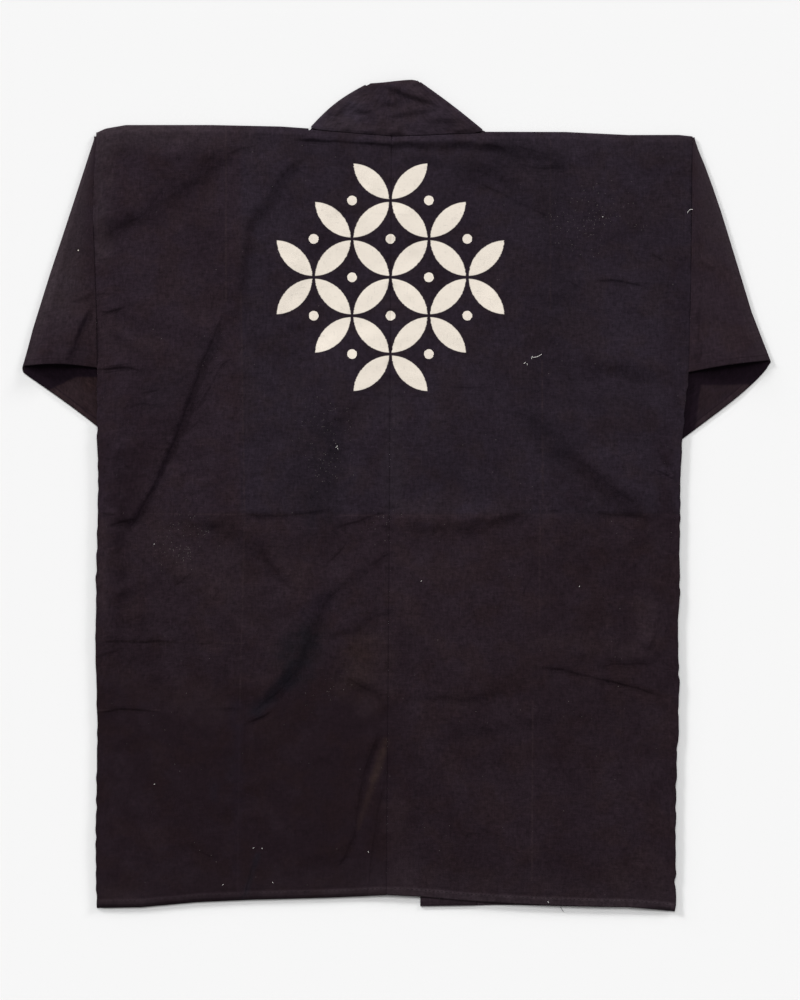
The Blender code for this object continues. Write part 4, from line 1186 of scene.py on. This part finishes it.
def body_paleness(net, x, y):
    """How pale the colour is: palest above the waist, least pale low on the left, and less pale below the right arm.
    """
    fade = net.span(y, -0.245, -0.13, 0.03, 0.62) + net.span(y, -0.022, -0.013, 0.0, 0.13)
    low_right = net.span(x, -0.03, 0.03, 0.0, 0.33) * net.span(y, -0.12, -0.24)
    mid_right = net.span(x, 0.095, 0.15, 0.0, 0.26) * net.span(y, -0.024, -0.06) * net.span(y, -0.24, -0.17)
    return fade + low_right - mid_right


def body_cotton():
    """Cotton of the body: dye, worn lines, stains and painted shade, pale hem, shoulders pale with wear and painted
    light, seam, weave, lattice and lint.
    """
    material, net, sockets, place, cloth = cotton("body")
    x, y, _ = net.split(place)
    u, v, _ = net.split(cloth)
    shade = plain_weave(net, cloth=cloth, warp=0.9, weft=0.7, grain=1.9, slubs=0.28)
    fade = body_paleness(net, x, y)
    colour = dyed_cotton(net, place=place, deep=DEEP_DYE, faded=FADED_DYE, fade=fade, mottle=1.3)
    panel = net.span(x, -0.172, -0.164) * net.span(y, -0.026, -0.014)
    colour = net.blend(panel, colour, BLUISH, "MULTIPLY")
    colour = net.blend(net.span(y, -0.012, -0.032), colour, BELOW_WAIST, "MULTIPLY")
    for *line, width, strength in WORN_LINES:
        colour = net.blend(line_between(net, place, line, width) * strength, colour, WARM_WEAR)
    # stains, and painted shade in hollows, carried by the points
    stains_and_shade = net.add("ShaderNodeAttribute", attribute_name="stains_and_shade")
    colour = net.scaled(colour, stains_and_shade.other("Alpha")) + stains_and_shade
    # painted shade along the long fold's narrow depth
    for *line, width, strength in PAINTED_FOLD_SHADE:
        painted_depth_shade = net.span(line_between(net, place, line, width), 0.0, 0.8, 0.0, strength)
        colour = net.blend(painted_depth_shade, colour, UNLIT)
    hem = net.span(v, 0.0102, 0.0080) * net.span(x, -0.20, 0.06, 0.14, 0.36)
    hem_line = net.span(v, 0.0064, 0.0070) * net.span(v, 0.0082, 0.0076) * net.span(x, -0.20, 0.06, 0.15, 0.3)
    ragged = net.span(net.noise(place, (60.0, 60.0, 0.0), 3.0, 0.7), 0.36, 0.66, 0.4, 1.0)
    above_hem = net.span(v, 0.050, 0.010) * net.span(x, -0.20, 0.06, 0.08, 0.17) * (v < 0.1)
    # towards the shoulder's fold the cloth is paler by wear and by painted highlight on the fold
    shoulder = net.span(v, 0.800, 0.830, 0.0, 0.45) + net.span(v, 0.830, 0.838, 0.0, 0.25)
    from_middle = net.span(net.math("ABSOLUTE", x), 0.10, 0.29, 0.1, 1.1) * net.span(x, -0.1, 0.1, 1.0, 0.3)
    colour = net.blend((hem + hem_line) * ragged + above_hem + shoulder * from_middle, colour, PALE_WEAR_AND_HIGHLIGHT)
    # front ends: worn, and lightened with painted light where the back's hem shades them
    colour = net.blend(net.span(v, 1.6715, 1.6735), colour, COLLAR_END)
    broken = net.span(net.noise(place, (0.0, 70.0, 0.0), 2.0), 0.35, 0.6, 0.3, 1.0)
    seam = net.span(u, 0.0012, 0.0005) * net.span(y, 0.28, 0.14, 0.1, 0.3) * broken
    colour = net.blend(seam, colour, UNLIT)
    fine = (shade - MEAN_SHADE) * net.span(fade, 0.05, 0.45, 0.6, 1.0)
    colour = net.scaled(colour, fine + MEAN_SHADE)
    printed = seven_treasures_lattice(net, place=place, **LATTICE) * (v < BACK_END)
    cream = net.blend(net.span(shade, 1.02, 1.5, 0.0, 0.5), UNDYED, GREY_FIBRE)
    colour = net.blend(printed, colour, cream)
    strewn = net.span(net.noise(place, (11.0, 11.0, 0.0), 2.0), 0.5, 0.75, 0.002, 0.03)
    specks = lint_specks(net, place=place, amount=strewn + net.reading("lint"))
    colour = net.blend(specks * 0.18, colour, GREY_FIBRE)
    folds = fold_line(net, drop=net.reading("crease_drop"), away=net.reading("crease_away"))
    finish_cotton(net, sockets, colour, shade.other("Height"), folds)
    return material


def sleeve_cotton(side):
    """Cotton of one sleeve: painted shade in the shaded part of its inside and its fold's depths; the stitched band
    of its cuff.
    """
    finish = SLEEVE_FINISH[side]
    material, net, sockets, place, cloth = cotton("sleeve")
    x, y, _ = net.split(place)
    u, v, _ = net.split(cloth)
    shade = plain_weave(net, cloth=cloth, warp=0.95, weft=0.7, grain=finish.grain, slubs=0.3)
    inside = net.math("GREATER_THAN", u, SLEEVE_INSIDE)
    outside = 1.0 - inside
    fade = net.span(y, 0.12, 0.20, finish.fade - 0.3, finish.fade)
    colour = dyed_cotton(net, place=place, deep=DEEP_DYE, faded=FADED_DYE, fade=fade, mottle=1.3)
    colour = net.blend(1.0, colour, SLEEVE_TINT, "MULTIPLY")
    colour = net.blend(inside, colour, finish.inside, "MULTIPLY")
    colour = net.blend(net.span(v, 0.2440, 0.2450) * inside * 0.25, colour, WARM_WEAR)
    wear = net.span(u, 0.0, 0.060, 0.0, finish.worn) * net.span(y, *finish.worn_over)
    wear = wear + net.span(u, 0.058, 0.076, 0.0, finish.worn_edge)
    colour = net.blend(wear * outside, colour, PALE_WEAR_AND_HIGHLIGHT)
    stitch_line = net.span(v, 0.2428, 0.2436) * net.span(v, 0.2450, 0.2442) * (inside * 0.3 + 0.45)
    colour = net.blend(stitch_line, colour, DEEP_DYE)
    ragged = net.noise(place, (70.0, 70.0, 0.0), 2.0) * 0.003
    # painted shade over the part of the inside that lies in shade
    dark = 0.0
    for line_x, line_y, rise in finish.shades:
        above = y - line_y * MM - (x - line_x * MM) * rise
        dark = net.math("MAXIMUM", dark, net.span(above / math.hypot(1.0, rise) + ragged, 0.0, 0.003))
    colour = net.blend(dark * inside, colour, UNLIT)
    # painted shade along the depths of the fold
    for line in finish.depths:
        painted_depth_shade = net.span(line_between(net, place, line, 3.6), 0.0, 0.8, 0.0, 0.6)
        colour = net.blend(painted_depth_shade * outside, colour, UNLIT)
    colour = net.scaled(colour, shade)
    for middle in finish.specks:
        speck = net.span(line_between(net, place, middle * 2, 0.9), 0.1, 0.3)
        colour = net.blend(speck * outside, colour, UNDYED)
    finish_cotton(net, sockets, colour, shade.other("Height"))
    return material


def collar_cotton():
    """Cotton of the collar: worn along its free edge, pale at its left end, front ends worn and lit by painted
    light.
    """
    material, net, sockets, place, cloth = cotton("collar")
    x, y, _ = net.split(place)
    shade = plain_weave(net, cloth=cloth, warp=1.0, weft=0.85, grain=1.9, slubs=0.4)
    colour = dyed_cotton(net, place=place, deep=DEEP_DYE, faded=FADED_DYE, fade=0.95, mottle=1.6)
    colour = net.blend(1.0, colour, COLLAR_TINT, "MULTIPLY")
    colour = net.blend(net.span(net.split(cloth)[0], 0.054, 0.0575) * 0.4, colour, WARM_WEAR)
    colour = net.blend(net.span(x, -0.028, -0.052), colour, COLLAR_PALE, "MULTIPLY")
    # front ends: worn, and lightened with painted light where the back's hem shades them
    colour = net.blend(net.span(y, -0.4330, -0.4350), colour, COLLAR_END)
    finish_cotton(net, sockets, net.scaled(colour, shade), shade.other("Height"))
    return material


def thread_material(name, colour):
    """Thread, its twist told by fine light and dark patches and their bump."""
    material, net, sockets = principled(name, 0.8, 0.1)
    twist = net.noise(net.add("ShaderNodeTexCoord", output=3), (1500.0, 1500.0, 1500.0), 1.0)
    net.feed(sockets["Base Color"], net.scaled(colour, net.span(twist, 0.3, 0.7, 0.7, 1.25)))
    bump = {"Height": twist, "Distance": 0.00008, "Strength": 0.4}
    net.feed(sockets["Normal"], net.add("ShaderNodeBump", bump))
    return material


# The coat


def make_coat():
    """The five pieces of cloth that stand for the CAD solids."""
    body, collar = body_cotton(), collar_cotton()
    sheets = []
    for half in (LEFT, RIGHT):
        flip = half.outward < 0
        points, cloth, lines, kept = body_sheet(half)
        piece = make_sheet(f"coat_body_{half.side}", points, cloth, body, flip, lines, kept)
        sheets.append(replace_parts(piece, f"body_{half.side}"))
        points, cloth = sleeve_sheet(half)
        piece = make_sheet(f"coat_sleeve_{half.side}", points, cloth, sleeve_cotton(half.side), not flip)
        sheets.append(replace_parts(piece, f"sleeve_{half.side}"))
    sheets.append(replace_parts(make_band("coat_collar", collar), "collar"))
    return sheets


def make_allowances():
    """The turned-in edges beneath the centre seam and the neck seam: strips that follow the back above them."""
    material, net, sockets = principled("black_cotton_inside", 0.9, 0.05)
    shade = plain_weave(net, cloth=on_cloth(net), warp=1.0, weft=0.9, grain=0.9, slubs=0.3)
    finish_cotton(net, sockets, net.scaled(DEEP_DYE[:3], shade), shade.other("Height"))
    across = np.linspace(-1.0, 1.0, 9)[None]
    y = np.linspace(-430.0, 380.0, 560)[:, None] + 0 * across
    x = along(CENTRE_BACK, y) + ALLOWANCE * across
    centre = np.stack([x, y, surface_of_back(x, y) - CLOTH - ALLOWANCE_DROP], -1)
    x = np.linspace(-86.0, 88.0, 90)[:, None] + 0 * across
    y = along(NECK, x) + ALLOWANCE * across
    under_back = surface_of_back(x, y) - CLOTH - ALLOWANCE_DROP
    flat = UPPER - CLOTH / 2 - ALLOWANCE_DROP
    neck = np.stack([x, y, mix(np.minimum(under_back, flat), flat, smooth(across / 0.3 + 1.0))], -1)
    strips = []
    for name, points, flip in (("centre_seam_allowance", centre, False), ("neck_seam_allowance", neck, True)):
        lengths = np.arange(points.shape[0])[:, None] * 1.5 + 0 * across
        cloth = np.stack([ALLOWANCE * across + 0 * lengths, lengths], -1)
        strips.append(make_sheet(name, points, cloth, material, flip, wall=ALLOWANCE_WALL))
    return strips


def make_stitching():
    """Rows of stitches along the back hem, and the thread's loose end."""
    rows = []
    for half, ends in ((LEFT, (-321, -9)), (RIGHT, (-7, 300))):
        x = np.linspace(*ends, 200)
        y = along(half.hem_back, x) + HEM_BAND - 1.4
        rows += list(stitch_row(x, y, surface_of_back(x, y), 71 + half.outward))
    return make_tubes("hem_stitching", rows + [LOOSE_END], thread_material("black_thread", BLACK_THREAD))


def strand(x, y, length, heading, bend, lift=0.35):
    """A loose fibre on the back: an arc of the given length, in plan, that rises a little in its middle."""
    share = np.linspace(0.0, 1.0, 14)
    angle = np.radians(heading) + bend * (share - 0.5)
    step = length / 13
    px = x + np.concatenate([[0.0], np.cumsum(np.cos(angle[1:]) * step)])
    py = y + np.concatenate([[0.0], np.cumsum(np.sin(angle[1:]) * step)])
    return np.stack([px, py, surface_of_back(px, py) + 0.15 + lift * np.sin(math.pi * share)], -1)


def make_lint():
    """Single white fibres caught on the back."""
    fibres = [strand(*fibre) for fibre in FIBRES]
    return make_tubes("lint_fibres", fibres, thread_material("white_lint", WHITE_LINT))


def make_floor():
    """A wide sheet of white paper."""
    mesh = bpy.data.meshes.new("floor")
    size = 30.0
    mesh.from_pydata([(-size, -size, 0), (size, -size, 0), (size, size, 0), (-size, size, 0)], [], [(0, 1, 2, 3)])
    floor = linked("floor", mesh)
    material, _, sockets = principled("white_paper", 1.0, 0.0)
    sockets["Base Color"].default_value = PAPER
    mesh.materials.append(material)


def make_sun(name, azimuth, elevation, share, spread):
    """A soft far light: share is its part of the light that falls on the floor, spread its angle across."""
    light = bpy.data.lights.new(name, "SUN")
    light.energy = FLOOR_LIGHT * share / math.sin(math.radians(elevation))
    light.angle = math.radians(spread)
    linked(name, light).rotation_euler = (math.radians(90 - elevation), 0.0, math.radians(azimuth + 90))


FLOOR_LIGHT = 3.4376
# name, azimuth and elevation in degrees, share of the floor's light, angle across; the sky gives the rest
SUNS = [
    ("low_left", 135, 20, 0.22, 10),
    ("far_left", 135, 11, 0.03, 12),
    ("low_right", 44, 16, 0.125, 14),
    ("high", 90, 60, 0.38, 30),
]


def make_lights():
    for sun in SUNS:
        make_sun(*sun)
    world = bpy.data.worlds.new("studio")
    world.use_nodes = True
    background = world.node_tree.nodes["Background"]
    background.inputs["Color"].default_value = (1.0, 1.0, 1.0, 1.0)
    background.inputs["Strength"].default_value = FLOOR_LIGHT * (1 - sum(sun[3] for sun in SUNS)) / math.pi
    bpy.context.scene.world = world


def make_camera():
    """Straight down from far above, so that 864 x 1080 mm of the floor fill the frame."""
    height, picture = 6.0, 1.080  # how high the eye stands, and how much of the floor it sees
    camera = bpy.data.cameras.new("camera")
    camera.sensor_fit = "VERTICAL"
    camera.sensor_height = 24.0
    camera.lens = 24.0 * height / picture
    camera.clip_end = 100.0
    eye = linked("camera", camera)
    eye.location = (0.00378, -0.00432, height)
    bpy.context.scene.camera = eye
    bpy.context.scene.view_settings.view_transform = "Standard"


make_camera()
make_lights()
make_floor()
sheets = make_coat()
centre_strip, neck_strip = make_allowances()
stitching = make_stitching()
lint = make_lint()
